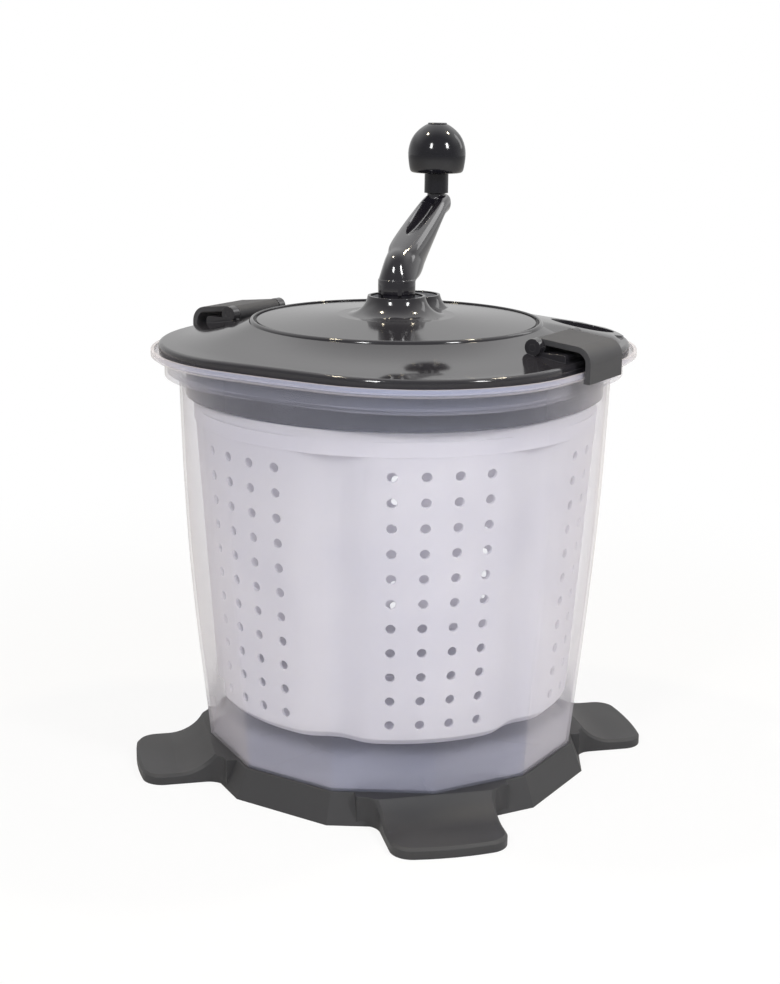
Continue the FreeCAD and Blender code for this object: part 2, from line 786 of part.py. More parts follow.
def make_lid_disc():
    """Round cover over the gear well with a flared collar at each socket."""
    crown_under = disc_crown_height - lid_shell
    crown = spun((0.0, disc_bottom), [(disc_radius, disc_bottom), (disc_radius, disc_edge_height),
                                      (disc_flat_radius, disc_crown_height), (0.0, disc_crown_height)])
    under = spun((0.0, disc_bottom), [(well_radius, disc_bottom), (disc_flat_radius, crown_under),
                                      (0.0, crown_under)])
    collar = flare(collar_top, disc_crown_height, 0.0)
    throat = flare(collar_top, crown_under, collar_wall).fuse(rod(collar_bore, crown_under, collar_top))
    spin_collar = flare(spin_collar_top, disc_edge_height, 0.0)
    spin_throat = flare(spin_collar_top, disc_bottom, collar_wall)
    spin_throat = spin_throat.fuse(rod(collar_bore, disc_bottom, spin_collar_top))
    spin_collar.translate(spin_centre)
    spin_throat.translate(spin_centre)
    screw_holes = screw_pattern(screw_shank + press_gap, disc_bottom, disc_bottom + lid_shell / 2.0)
    disc = crown.fuse([collar, spin_collar])
    return disc.cut([under, throat, spin_throat] + screw_holes).removeSplitter()


def make_disc_screws():
    """Screws from below that hold the disc, heads against the well's floor."""
    head_top = well_floor_top - well_floor
    heads = screw_pattern(screw_head, head_top - screw_head_height, head_top)
    shanks = screw_pattern(screw_shank, head_top, disc_bottom + lid_shell / 2.0)
    return Part.makeCompound([head.fuse(shank) for head, shank in zip(heads, shanks)])


def make_shaft_bush(bottom, x=0.0, y=0.0):
    """Flanged bush pressed into the gear well's floor."""
    flange_top_height = well_floor_top + shaft_bush_flange
    flange = tube(bush_flange_radius, shaft_bush_bore, well_floor_top, flange_top_height, x, y)
    sleeve = tube(shaft_bush_radius, shaft_bush_bore, bottom, well_floor_top, x, y)
    return flange.fuse(sleeve).removeSplitter()


def make_socket_head(top, x=0.0, y=0.0):
    """Round head with a six-sided crank socket, standing on the gear."""
    head = rod(socket_head_radius, top - socket_depth - lid_shell, top, x, y)
    neck = rod(shaft_radius, gear_top, top - socket_depth, x, y)
    socket = hexagon(socket_across_flats, top - socket_depth, top, x, y, crank_bearing - 90.0)
    return head.fuse(neck).cut(socket)


def make_drive_shaft():
    """Shaft from the crank socket down to the six-sided seat of the drive plate."""
    journal = rod(shaft_radius, drive_bush_bottom, gear_top)
    seat = hexagon(seat_across_flats, plate_bottom, drive_bush_bottom)
    tapped = rod(plate_screw_shank + press_gap, plate_bottom, drive_bush_bottom)
    return make_socket_head(drive_head_top).fuse([journal, seat]).cut(tapped).removeSplitter()


def make_spin_shaft():
    """Short shaft of the second socket."""
    x, y = spin_centre.x, spin_centre.y
    journal = rod(shaft_radius, spin_bush_bottom - seat_gap - ring_thickness, gear_top, x, y)
    groove = tube(shaft_radius, shaft_radius - ring_groove, spin_bush_bottom - seat_gap - ring_thickness,
                  spin_bush_bottom - seat_gap, x, y)
    return make_socket_head(spin_head_top, x, y).fuse(journal.cut(groove)).removeSplitter()


def make_spin_ring():
    """Retaining ring in the groove under the spin bush."""
    top = spin_bush_bottom - seat_gap
    return tube(shaft_radius + ring_wall, shaft_radius - ring_groove + press_gap, top - ring_thickness, top,
                spin_centre.x, spin_centre.y)


def make_gear(teeth, first_tooth, x=0.0, y=0.0):
    """Spur gear with straight-flanked teeth and a hub bore."""
    pitch = gear_module * teeth / 2.0
    tip = pitch + gear_module
    root = pitch - gear_root_share * gear_module
    half_pitch = math.degrees((math.pi * gear_module - gear_backlash) / 4.0 / pitch)
    flank = math.degrees(math.tan(math.radians(pressure_angle)) * gear_module / pitch)
    corners = []
    for k in range(teeth):
        middle = first_tooth + 360.0 / teeth * k
        for radius, half in ((root, -half_pitch - flank), (tip, -half_pitch + flank),
                             (tip, half_pitch - flank), (root, half_pitch + flank)):
            corners.append(polar(radius, middle + half, gear_bottom))
    gear = Part.Face(Part.makePolygon(corners + corners[:1])).extrude(V(0, 0, gear_width))
    gear = gear.cut(rod(shaft_radius + press_gap, gear_bottom, gear_top))
    gear.translate(V(x, y, 0))
    return gear


def make_drive_plate():
    """Windowed disc over the basket with a hub on the shaft and lugs that turn the basket."""
    top = plate_bottom + plate_thickness
    rim = tube(plate_radius, plate_radius - plate_rim_wall, plate_bottom, plate_bottom + plate_rim_height)
    hub = rod(plate_hub_radius, plate_bottom, drive_bush_bottom - seat_gap)
    windows = []
    for k in range(panel_count):
        middle = 360.0 / panel_count * (k + 0.5)
        corner = [polar(radius, middle + side * window_half_angle, plate_bottom)
                  for radius, side in ((window_inner_radius, -1), (window_outer_radius, -1),
                                       (window_outer_radius, 1), (window_inner_radius, 1))]
        outer = Part.Arc(corner[1], polar(window_outer_radius, middle, plate_bottom), corner[2]).toShape()
        inner = Part.Arc(corner[3], polar(window_inner_radius, middle, plate_bottom), corner[0]).toShape()
        side_one = Part.LineSegment(corner[0], corner[1]).toShape()
        side_two = Part.LineSegment(corner[2], corner[3]).toShape()
        wire = Part.Wire([side_one, outer, side_two, inner])
        windows.append(Part.Face(wire).extrude(V(0, 0, plate_thickness)))
    lugs = pattern(block((lug_inner_radius, -lug_width / 2, plate_bottom - lug_depth),
                         (lug_outer_radius, lug_width / 2, plate_bottom)), lug_count)
    seat = hexagon(seat_across_flats + 2 * press_gap, plate_bottom, drive_bush_bottom)
    plate = rod(plate_radius, plate_bottom, top).cut(windows).fuse([rim, hub] + lugs)
    return plate.cut(seat).removeSplitter()


def make_plate_screw():
    """Screw and broad head under the drive plate's hub."""
    head = rod(plate_screw_head, plate_bottom - plate_screw_head_height, plate_bottom)
    return head.fuse(rod(plate_screw_shank, plate_bottom, drive_bush_bottom - seat_gap)).removeSplitter()


def arm_section(x, bottom, top, low, middle, high):
    """Upright section of the crank arm: half widths low down, half-way up and on top."""
    half_way = (bottom + top) / 2.0
    return outline((-low, bottom), [((-middle, half_way), (-high, top)), (high, top),
                                    ((middle, half_way), (low, bottom))], lambda y, z: V(x, y, z))


def make_arm(hub_top, peak):
    """Tapering arm that grows out of the ogive and rises to the knob's seat, along +X."""
    share = arm_root_share
    under_rise = arm_end_top - arm_end_depth - hub_top
    over_rise = arm_end_top - peak
    sections = [arm_section(0.0, hub_top, hub_top + ogive_height * share, crank_hub_radius * share,
                            ogive_middle_radius * share, ogive_tip_radius * share)]
    for along, under, over, low, middle, high in arm_stations:
        sections.append(arm_section(crank_throw * along, hub_top + under_rise * under,
                                    peak + over_rise * over, low, middle, high))
    arm = Part.makeLoft(sections, True, False)
    end = rod(arm_end_half_width, arm_end_top - arm_end_depth, arm_end_top, crank_throw)
    return arm.fuse(end)


def make_arm_dish(peak):
    """Round tool that hollows the arm's top, deeper towards the knob."""
    along, over = arm_stations[0][0], arm_stations[0][2]
    start = V(crank_throw * arm_dish_start, 0, peak + (arm_end_top - peak) * over * arm_dish_start / along)
    seat = V(crank_throw, 0, arm_end_top - arm_dish_depth)
    tool = Part.makeCylinder(arm_dish_radius, (seat - start).Length, start, seat - start)
    tool.translate(V(0, 0, arm_dish_radius))
    return tool


def make_crank_arm():
    """Crank: socket stub, round hub with an ogive top and a tapering, rising arm along +X."""
    hub_bottom = drive_head_top
    hub_top = hub_bottom + crank_hub_height
    peak = hub_top + ogive_height
    hub = spun((0.0, hub_bottom), [(crank_hub_radius, hub_bottom), (crank_hub_radius, hub_top),
                                   ((ogive_middle_radius, hub_top + ogive_height / 2.0),
                                    (ogive_tip_radius, peak)), (0.0, peak)])
    stub_bottom = hub_bottom - socket_depth + stub_end_gap
    stub = hexagon(socket_across_flats - 2 * socket_side_gap, stub_bottom, hub_bottom)
    arm = make_arm(hub_top, peak).cut(make_arm_dish(peak))
    neck_top = arm_end_top + neck_length
    neck = rod(neck_radius, arm_end_top - 2 * arm_dish_depth, neck_top, crank_throw)
    spindle_hole = rod(spindle_radius + press_gap, arm_end_top - spindle_sunk, neck_top, crank_throw)
    notch = block((crank_hub_radius - hub_notch_depth, -hub_notch / 2, hub_bottom),
                  (crank_hub_radius + hub_notch_depth, hub_notch / 2, hub_bottom + hub_notch))
    notches = pattern(notch, hub_notch_count, 180.0 / hub_notch_count)
    return hub.fuse([stub, arm, neck]).cut([spindle_hole] + notches).removeSplitter()


def make_knob_spindle():
    """Steel spindle from the arm's end into the knob."""
    return rod(spindle_radius, arm_end_top - spindle_sunk, spindle_top, crank_throw)


def make_knob_sleeve():
    """Spacer sleeve between the arm and the knob."""
    return tube(sleeve_radius, spindle_radius + press_gap, arm_end_top + neck_length,
                arm_end_top + sleeve_length, crank_throw)


def make_knob_screw():
    """Screw head on the spindle's end that keeps the knob on."""
    return rod(knob_screw_head, spindle_top, spindle_top + knob_screw_head_height, crank_throw)


def make_hand_knob():
    """Round-topped knob with a bore for the spindle and a counterbore under its cap."""
    crown = knob_belly + knob_radius
    waist = (knob_belly + knob_bottom + knob_base_bevel) / 2.0
    dip = math.sqrt(0.5)
    knob = spun((0.0, knob_bottom),
                [(knob_base_radius - knob_base_bevel, knob_bottom),
                 (knob_base_radius, knob_bottom + knob_base_bevel),
                 ((knob_radius - knob_side_crown, waist), (knob_radius, knob_belly)),
                 ((knob_radius * dip, knob_belly + knob_radius * dip), (0.0, crown))])
    knob.translate(V(crank_throw, 0, 0))
    bore = rod(spindle_radius + running_gap, knob_bottom, spindle_top, crank_throw)
    counterbore = rod(knob_cap_radius + press_gap, spindle_top - seat_gap, crown, crank_throw)
    return knob.cut([bore, counterbore])


def make_knob_cap():
    """Flat cap that closes the knob's counterbore and stands a little proud of the knob."""
    bottom = knob_cap_edge - knob_cap_thickness
    cap = spun((0.0, bottom), [(knob_cap_radius, bottom), (knob_cap_radius, knob_top - knob_cap_bevel),
                               (knob_cap_radius - knob_cap_bevel, knob_top), (0.0, knob_top)])
    cap.translate(V(crank_throw, 0, 0))
    return cap


def main():
    """Make every piece and write one file for each."""
    os.makedirs("parts", exist_ok=True)
    x, y = spin_centre.x, spin_centre.y
    mesh = 180.0 / spin_teeth
    nodes = {
        "base": make_base(),
        "tub": make_tub(),
        "pivot_pin": make_pivot_pin(),
        "basket": make_basket(),
        "basket_bush": make_basket_bush(),
        "lid": make_lid(),
        "lid_disc": make_lid_disc(),
        "lid_disc_screws": make_disc_screws(),
        "drive_bush": make_shaft_bush(drive_bush_bottom),
        "spin_bush": make_shaft_bush(spin_bush_bottom, x, y),
        "drive_shaft": make_drive_shaft(),
        "wash_gear": make_gear(wash_teeth, spin_bearing),
        "drive_plate": make_drive_plate(),
        "drive_plate_screw": make_plate_screw(),
        "spin_shaft": make_spin_shaft(),
        "spin_gear": make_gear(spin_teeth, spin_bearing + 180.0 + mesh, x, y),
        "spin_ring": make_spin_ring(),
        "crank_arm": turned(make_crank_arm(), crank_bearing),
        "knob_spindle": turned(make_knob_spindle(), crank_bearing),
        "knob_sleeve": turned(make_knob_sleeve(), crank_bearing),
        "knob_screw": turned(make_knob_screw(), crank_bearing),
        "hand_knob": turned(make_hand_knob(), crank_bearing),
        "knob_cap": turned(make_knob_cap(), crank_bearing),
    }
    for side, bearing in zip(("right", "left"), clip_bearings):
        nodes["clip_" + side] = turned(make_clip(), bearing)
        nodes["clip_pin_" + side] = turned(make_clip_pin(), bearing)
    for name, shape in nodes.items():
        print(name, "valid" if shape.isValid() else "NOT VALID", "solids", len(shape.Solids),
              "volume", round(shape.Volume, 1))
        shape.exportStep("parts/" + name + ".step")


main()
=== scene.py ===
# %% [markdown]
# # A hand-cranked washing machine
# The machine was built as solids first. This lesson loads those solids as a fixed frame,
# gives each of them a finish, and models again the few pieces whose smooth skin needs a mesh
# made for looking at. Every length is in metres and every place is the frame's own.

# %% Load the frame
import math

import bpy
from mathutils import Matrix, Vector


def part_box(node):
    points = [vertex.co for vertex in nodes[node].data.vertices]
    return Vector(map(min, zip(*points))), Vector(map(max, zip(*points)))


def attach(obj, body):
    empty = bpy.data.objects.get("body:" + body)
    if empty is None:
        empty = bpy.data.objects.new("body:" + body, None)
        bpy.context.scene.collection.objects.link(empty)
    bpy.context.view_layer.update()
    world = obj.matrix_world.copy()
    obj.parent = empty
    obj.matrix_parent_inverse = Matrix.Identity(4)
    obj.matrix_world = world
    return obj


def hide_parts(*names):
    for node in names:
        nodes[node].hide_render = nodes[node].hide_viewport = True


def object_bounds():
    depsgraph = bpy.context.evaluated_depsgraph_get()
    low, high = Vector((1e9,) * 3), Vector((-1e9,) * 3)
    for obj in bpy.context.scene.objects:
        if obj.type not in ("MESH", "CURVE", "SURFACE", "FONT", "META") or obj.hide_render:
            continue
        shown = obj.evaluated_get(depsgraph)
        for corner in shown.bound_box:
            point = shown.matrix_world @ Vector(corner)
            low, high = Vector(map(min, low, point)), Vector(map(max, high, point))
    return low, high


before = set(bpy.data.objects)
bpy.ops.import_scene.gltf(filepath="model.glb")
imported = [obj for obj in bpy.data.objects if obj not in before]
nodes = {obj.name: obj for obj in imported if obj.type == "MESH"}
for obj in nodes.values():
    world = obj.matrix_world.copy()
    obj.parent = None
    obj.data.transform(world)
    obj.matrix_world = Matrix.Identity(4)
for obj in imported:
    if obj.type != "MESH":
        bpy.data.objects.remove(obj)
cad_low, cad_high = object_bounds()
MM = 0.001
print("frame:", len(nodes), "nodes, height", round(cad_high.z, 4))

# %% [markdown]
# ## Camera
# The photograph was taken from a little above the lid, slightly to the left of the front foot.
# A camera could be placed by eye, but the rim, the hole rows and the foot fix it closely, so
# its distance, height, pitch and roll are written down as the values that fit them.

# %% Camera
camera_bearing = math.radians(-13.0)
camera_distance = 1.25003
camera_height = 0.52384
camera_yaw = math.radians(0.14)
camera_pitch = math.radians(14.18)
camera_roll = math.radians(0.73)
camera_lens = 61.6
camera_sensor = 36.0
bpy.ops.object.select_all(action="DESELECT")
bpy.ops.object.camera_add()
camera = bpy.context.object
camera.name = "photo_camera"
camera.data.lens = camera_lens
camera.data.sensor_width = camera_sensor
camera.matrix_world = (
    Matrix.Translation((camera_distance * math.sin(camera_bearing),
                        -camera_distance * math.cos(camera_bearing), camera_height))
    @ Matrix.Rotation(camera_bearing + camera_yaw, 4, "Z")
    @ Matrix.Rotation(math.radians(90.0) - camera_pitch, 4, "X")
    @ Matrix.Rotation(camera_roll, 4, "Z"))
bpy.context.scene.camera = camera
bpy.context.scene.view_settings.view_transform = "Standard"
print("camera at", [round(v, 3) for v in camera.location])

# %% [markdown]
# ## Writing shaders as sums
# A node tree is easier to read as arithmetic. `Wire` stands for an output socket, and adding or
# multiplying two wires puts a Math node between them. `Finish` is one material, and its `add`
# makes any other node from a type, its settings and what goes into its sockets.

# %% Shader helper
class Wire:
    """An output socket that can be used in sums."""

    def __init__(self, finish, socket):
        self.finish = finish
        self.socket = socket

    def math(self, operation, first, second):
        return self.finish.add("ShaderNodeMath", {"operation": operation}, {0: first, 1: second})

    def __add__(self, other):
        return self.math("ADD", self, other)

    def __sub__(self, other):
        return self.math("SUBTRACT", self, other)

    def __rsub__(self, other):
        return self.math("SUBTRACT", other, self)

    def __mul__(self, other):
        return self.math("MULTIPLY", self, other)

    def __pow__(self, other):
        return self.math("POWER", self, other)

    __radd__ = __add__


class Finish:
    """A material and the nodes in it."""

    def __init__(self, name, tree=None):
        self.material = None
        if tree is None:
            self.material = bpy.data.materials.new(name)
            self.material.use_nodes = True
            tree = self.material.node_tree
        tree.nodes.clear()
        self.tree = tree

    def add(self, kind, settings=None, inputs=None, out=0):
        node = self.tree.nodes.new(kind)
        for key, value in (settings or {}).items():
            setattr(node, key, value)
        for key, value in (inputs or {}).items():
            if isinstance(value, Wire):
                self.tree.links.new(value.socket, node.inputs[key])
            else:
                node.inputs[key].default_value = value
        return Wire(self, node.outputs[out])

    def place(self):
        return self.add("ShaderNodeTexCoord", out=3)

    def ramp(self, value, start, end, low=0.0, high=1.0):
        return self.add("ShaderNodeMapRange", {"interpolation_type": "SMOOTHSTEP"},
                        {"Value": value, "From Min": start, "From Max": end,
                         "To Min": low, "To Max": high})

    def noise(self, size, detail=2.0):
        return self.add("ShaderNodeTexNoise", None,
                        {"Vector": self.place(), "Scale": 1.0 / size, "Detail": detail})

    def mix(self, factor, first, second):
        return self.add("ShaderNodeMix", {"data_type": "RGBA"},
                        {0: factor, 6: first, 7: second}, 2)

    def close(self, surface, kind="ShaderNodeOutputMaterial"):
        self.tree.links.new(surface.socket, self.tree.nodes.new(kind).inputs["Surface"])
        return self.material


print("shader helper ready")

# %% [markdown]
# ## Moulded plastic
# Almost all of the machine is injection-moulded plastic. Real mouldings are never one flat
# colour: the gloss wanders a little, the skin has a fine grain from the tool, and edges are
# rounded and rubbed, and painted lighter: partly real rubbing, partly a painted highlight where
# they catch light. One recipe with a few amounts serves every plastic here.

# %% Plastic recipe
cloud_size, cloud_detail = 0.06, 3.0
speck_size, speck_share = 0.0022, 0.3
tone_spread = 0.1
# Edge lightening: partly real rubbing, partly a painted highlight on rounded edges.
rub_and_highlight_gain, rub_and_highlight_share, rub_and_highlight_lift = 5.0, 0.6, 0.02
rub_and_highlight_brighter = 1.25
gloss_floor, gloss_spread, rub_gloss = 0.85, 0.3, 0.05
grain_strength = 0.5


def plastic(name, colour, roughness, grain_size, grain_depth, edge=0.0006, glow=0.0, coat=0.0):
    """Moulded plastic: wandering tone and gloss, grain, worn edges with painted highlight, light
    let through.
    """
    f = Finish(name)
    cloud = f.noise(cloud_size, cloud_detail)
    speck = f.noise(speck_size)
    dark = [c * (1.0 - tone_spread) for c in colour] + [1.0]
    light = [min(1.0, c * (1.0 + tone_spread)) for c in colour] + [1.0]
    # Lighter edge colour: partly real rubbing, partly a painted highlight.
    worn_and_highlit = [min(1.0, c * rub_and_highlight_brighter + rub_and_highlight_lift) for c in colour] + [1.0]
    soft = f.add("ShaderNodeBevel", {"samples": 4}, {"Radius": edge})
    flat = f.add("ShaderNodeNewGeometry", out=1)
    turn = f.add("ShaderNodeVectorMath", {"operation": "DOT_PRODUCT"}, {0: soft, 1: flat}, 1)
    # Mask of rounded edges, where the colour is lightened as wear and as a painted highlight.
    rub_and_highlight = f.add("ShaderNodeMath", {"operation": "MULTIPLY", "use_clamp": True},
                {0: 1.0 - turn, 1: rub_and_highlight_gain})
    tone = f.mix(cloud * (1.0 - speck_share) + speck * speck_share, dark, light)
    # Edges painted lighter: partly wear, partly a painted highlight.
    tone = f.mix(rub_and_highlight * rub_and_highlight_share, tone, worn_and_highlit)
    grain = f.add("ShaderNodeBump", None,
                  {"Height": f.noise(grain_size), "Distance": grain_depth,
                   "Strength": grain_strength, "Normal": soft})
    gloss = roughness * gloss_floor + cloud * (gloss_spread * roughness) + rub_and_highlight * rub_gloss
    skin = f.add("ShaderNodeBsdfPrincipled", None,
                 {"Base Color": tone, "Normal": grain, "Coat Weight": coat, "Roughness": gloss})
    if glow:
        lit = f.add("ShaderNodeBsdfTranslucent", None, {"Color": tone})
        skin = f.add("ShaderNodeMixShader", None, {0: glow, 1: skin, 2: lit})
    return f.close(skin)


def dress(piece, material):
    """Give a piece one finish."""
    piece.data.materials.clear()
    piece.data.materials.append(material)


def wear(material, *names):
    """Put a finish on CAD nodes, in place of the one that they came with."""
    for name in names:
        dress(nodes[name], material)


foot_finish = plastic("foot_matte", (0.032, 0.032, 0.035), 0.58, 0.0007, 0.00006, 0.0010)
clip_finish = plastic("clip_matte", (0.040, 0.040, 0.044), 0.62, 0.0006, 0.00005, 0.0008)
lid_finish = plastic("lid_gloss", (0.022, 0.021, 0.025), 0.10, 0.004, 0.00002, 0.0008)
crank_finish = plastic("crank_gloss", (0.011, 0.010, 0.014), 0.12, 0.004, 0.00002, 0.0012,
                       coat=0.6)
knob_finish = plastic("knob_gloss", (0.007, 0.007, 0.010), 0.10, 0.004, 0.00001, 0.0010)
drive_finish = plastic("drive_nylon", (0.040, 0.044, 0.058), 0.62, 0.0008, 0.00004)
gear_finish = plastic("gear_acetal", (0.78, 0.77, 0.72), 0.35, 0.0008, 0.00002)
basket_finish = plastic("basket_satin", (0.91, 0.895, 0.965), 0.32, 0.0012, 0.00003, 0.0008,
                        glow=0.46)
wear(foot_finish, "base")
wear(clip_finish, "clip_right", "clip_left")
wear(lid_finish, "lid", "lid_disc", "clip_pin_right", "clip_pin_left")
wear(knob_finish, "knob_cap", "knob_sleeve")
wear(drive_finish, "drive_shaft", "spin_shaft", "drive_plate")
wear(gear_finish, "wash_gear", "spin_gear", "drive_bush", "spin_bush", "basket_bush")
print("plastic finishes:", len(bpy.data.materials))

# %% [markdown]
# ## The basket, one hole first
# The real basket is a thin white moulding with 264 round holes in six bulged panels. Cutting each
# hole with a Boolean would be slow and leave long thin faces. A wall of repeated cells is cleaner:
# one cell is a square with a round hole, made by bridging the square's edge to a circle. It is
# laid out flat, x running round the basket and z up it, and the wall is rolled up afterwards.

# %% Helpers for working by hand
near = 0.1 * MM
weld = 0.01 * MM
origin = (0.0, 0.0, 0.0)


def fresh():
    """Leave object mode with nothing selected, so that an operator acts only on what is new."""
    if bpy.context.object and bpy.context.object.mode == "EDIT":
        bpy.ops.object.mode_set(mode="OBJECT")
    bpy.ops.object.select_all(action="DESELECT")


def take(piece):
    """Make a piece the only selected object."""
    fresh()
    piece.select_set(True)
    bpy.context.view_layer.objects.active = piece


def pick(piece, kind, test):
    """In edit mode, select the points, edges or faces whose middle passes a test."""
    bpy.ops.mesh.select_mode(type=kind)
    bpy.ops.mesh.select_all(action="DESELECT")
    bpy.ops.object.mode_set(mode="OBJECT")
    mesh = piece.data
    points = mesh.vertices
    for part in {"VERT": mesh.vertices, "EDGE": mesh.edges, "FACE": mesh.polygons}[kind]:
        corners = [part.index] if kind == "VERT" else list(part.vertices)
        part.select = all(test(points[corner].co) for corner in corners)
    bpy.ops.object.mode_set(mode="EDIT")


def apply_modifiers(piece):
    """Apply a piece's modifiers in order."""
    take(piece)
    for modifier in list(piece.modifiers):
        bpy.ops.object.modifier_apply(modifier=modifier.name)


def cut(piece, cutter):
    """Take a cutter's form out of a piece, and delete the cutter."""
    boolean = piece.modifiers.new("cut", "BOOLEAN")
    boolean.operation = "DIFFERENCE"
    boolean.solver = "EXACT"
    boolean.object = cutter
    apply_modifiers(piece)
    take(cutter)
    bpy.ops.object.delete()


def join(pieces):
    """Join pieces into the first of them."""
    take(pieces[0])
    for piece in pieces:
        piece.select_set(True)
    bpy.ops.object.join()


def thicken(piece, thickness):
    """Give a skin a thickness, inwards."""
    solid = piece.modifiers.new("thick", "SOLIDIFY")
    solid.thickness = thickness
    solid.offset = -1.0
    return solid


def soften(piece, angle):
    """Shade a piece smooth, apart from edges sharper than an angle in degrees."""
    take(piece)
    bpy.ops.object.shade_smooth_by_angle(angle=math.radians(angle))


def repeat(piece, count, step):
    """Array a piece along a step, welding the copies where they meet."""
    array = piece.modifiers.new("repeat", "ARRAY")
    array.count = count
    array.use_relative_offset = False
    array.use_constant_offset = True
    array.constant_offset_displace = step
    array.use_merge_vertices = True
    array.merge_threshold = weld
    apply_modifiers(piece)


print("helpers ready")

# %% One cell and a flat panel of cells
panel_count = 6
hole_columns = 4
hole_rows = 11
column_angle = math.radians(9.0)
panel_angle = math.radians(360.0 / panel_count)
row_pitch = 18.34 * MM
hole_radius = 3.5 * MM
top_row = 255.9 * MM
sheet_radius = 142.0 * MM
cell_width = sheet_radius * column_angle
cell_sides = 4
upright = (math.radians(90.0), 0.0, 0.0)

fresh()
bpy.ops.mesh.primitive_grid_add(x_subdivisions=cell_sides, y_subdivisions=cell_sides, size=1.0,
                                rotation=upright)
bpy.ops.object.transform_apply()
basket = bpy.context.object
basket.name = "basket_moulding"
bpy.ops.object.mode_set(mode="EDIT")
bpy.ops.transform.resize(value=(cell_width, 1.0, row_pitch), center_override=origin)
inside = 0.49
pick(basket, "VERT", lambda p: abs(p.x) < inside * cell_width and abs(p.z) < inside * row_pitch)
bpy.ops.mesh.delete(type="VERT")
bpy.ops.mesh.primitive_circle_add(vertices=4 * cell_sides, radius=hole_radius, rotation=upright)
bpy.ops.mesh.select_mode(type="EDGE")
bpy.ops.mesh.select_all(action="SELECT")
bpy.ops.mesh.bridge_edge_loops()
first_column = -0.5 * (hole_columns - 1) * cell_width
bpy.ops.transform.translate(value=(first_column, 0.0, top_row))
bpy.ops.object.mode_set(mode="OBJECT")
print("one cell:", len(basket.data.polygons), "faces")
repeat(basket, hole_columns, (cell_width, 0.0, 0.0))
repeat(basket, hole_rows, (0.0, 0.0, -row_pitch))
print("one panel:", len(basket.data.polygons), "faces")

# %% [markdown]
# ## Rolling up the wall
# Between the panels are shallow valleys without holes: a grid with the cells' row height, so that
# the edges weld. Six panels and valleys in a row are the whole wall. The Bend modifier could roll
# it up into a plain tube, but the panels bulge, the valleys dip and the whole wall tapers, so
# each point is moved by that rule instead.

# %% Valleys, then the whole wall
valley_steps = 8
panel_half = 0.5 * hole_columns * cell_width
valley_width = sheet_radius * panel_angle - 2.0 * panel_half
wall_middle = top_row - 0.5 * (hole_rows - 1) * row_pitch
take(basket)
bpy.ops.object.mode_set(mode="EDIT")
bpy.ops.mesh.select_all(action="DESELECT")
bpy.ops.mesh.primitive_grid_add(x_subdivisions=valley_steps,
                                y_subdivisions=cell_sides * hole_rows, size=1.0, rotation=upright)
bpy.ops.transform.resize(value=(valley_width, 1.0, hole_rows * row_pitch), center_override=origin)
bpy.ops.transform.translate(value=(panel_half + 0.5 * valley_width, 0.0, wall_middle))
bpy.ops.mesh.select_all(action="SELECT")
bpy.ops.mesh.remove_doubles(threshold=weld)
bpy.ops.object.mode_set(mode="OBJECT")
repeat(basket, panel_count, (sheet_radius * panel_angle, 0.0, 0.0))

basket_low, basket_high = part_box("basket")
basket_top = basket_high.z
wall_high = top_row + 0.5 * row_pitch
wall_low = top_row - (hole_rows - 0.5) * row_pitch
edge_height = 4.0 * MM
floor_height = 58.0 * MM
bpy.ops.object.mode_set(mode="EDIT")
for height, goal in ((wall_high, basket_top), (wall_low, floor_height + edge_height)):
    pick(basket, "EDGE", lambda p: abs(p.z - height) < near)
    bpy.ops.mesh.extrude_edges_indiv()
    bpy.ops.transform.translate(value=(0.0, 0.0, goal - height))
bpy.ops.object.mode_set(mode="OBJECT")
print("flat wall:", len(basket.data.polygons), "faces, top", round(basket_top, 4))

# %% Roll it up
panel_radius = 148.0 * MM
panel_taper = 0.0698
valley_depth = 7.0 * MM
valley_half = 0.5 * valley_width / sheet_radius


def wall_radius(bearing, height):
    """Distance of the wall from the axis: bulged panels, valleys between them, narrower below."""
    from_valley = abs(bearing % panel_angle - 0.5 * panel_angle)
    dip = 0.5 + 0.5 * math.cos(math.pi * min(1.0, from_valley / valley_half))
    return panel_radius + panel_taper * (height - top_row) - valley_depth * dip


for point in basket.data.vertices:
    bearing = point.co.x / sheet_radius
    reach = wall_radius(bearing, point.co.z)
    point.co = (reach * math.sin(bearing), -reach * math.cos(bearing), point.co.z)
bpy.ops.object.mode_set(mode="EDIT")
bpy.ops.mesh.select_all(action="SELECT")
bpy.ops.mesh.remove_doubles(threshold=5.0 * weld)
bpy.ops.mesh.normals_make_consistent(inside=False)
bpy.ops.object.mode_set(mode="OBJECT")
outward = sum(face.normal.dot(face.center) > 0.0 for face in basket.data.polygons)
print("rolled wall:", len(basket.data.polygons), "faces,", outward, "point outwards")

# %% [markdown]
# ## Floor, rim and wall thickness
# The wall's top edge runs out to a round rim that hangs down as a band, and its bottom edge turns
# in to the floor. Both grow out of the wall by extruding its edges, as a moulding has no joints.
# Solidify then gives the whole skin its two millimetres, inwards from the outside that was drawn.

# %% Rim and floor
rim_radius = 151.0 * MM
rim_drop = 12.5 * MM
wall_thickness = 2.0 * MM
bpy.ops.object.mode_set(mode="EDIT")
pick(basket, "EDGE", lambda p: abs(p.z - basket_top) < near)
bpy.ops.mesh.extrude_edges_indiv()
bpy.ops.object.mode_set(mode="OBJECT")
for point in basket.data.vertices:
    if point.select:
        spread = rim_radius / math.hypot(point.co.x, point.co.y)
        point.co = (point.co.x * spread, point.co.y * spread, basket_top)
bpy.ops.object.mode_set(mode="EDIT")
bpy.ops.mesh.extrude_edges_indiv()
bpy.ops.transform.translate(value=(0.0, 0.0, -rim_drop))
pick(basket, "EDGE", lambda p: abs(p.z - floor_height - edge_height) < near)
bpy.ops.mesh.extrude_edges_indiv()
tuck = 1.0 - edge_height / wall_radius(0.0, floor_height)
bpy.ops.transform.resize(value=(tuck, tuck, 1.0), center_override=origin)
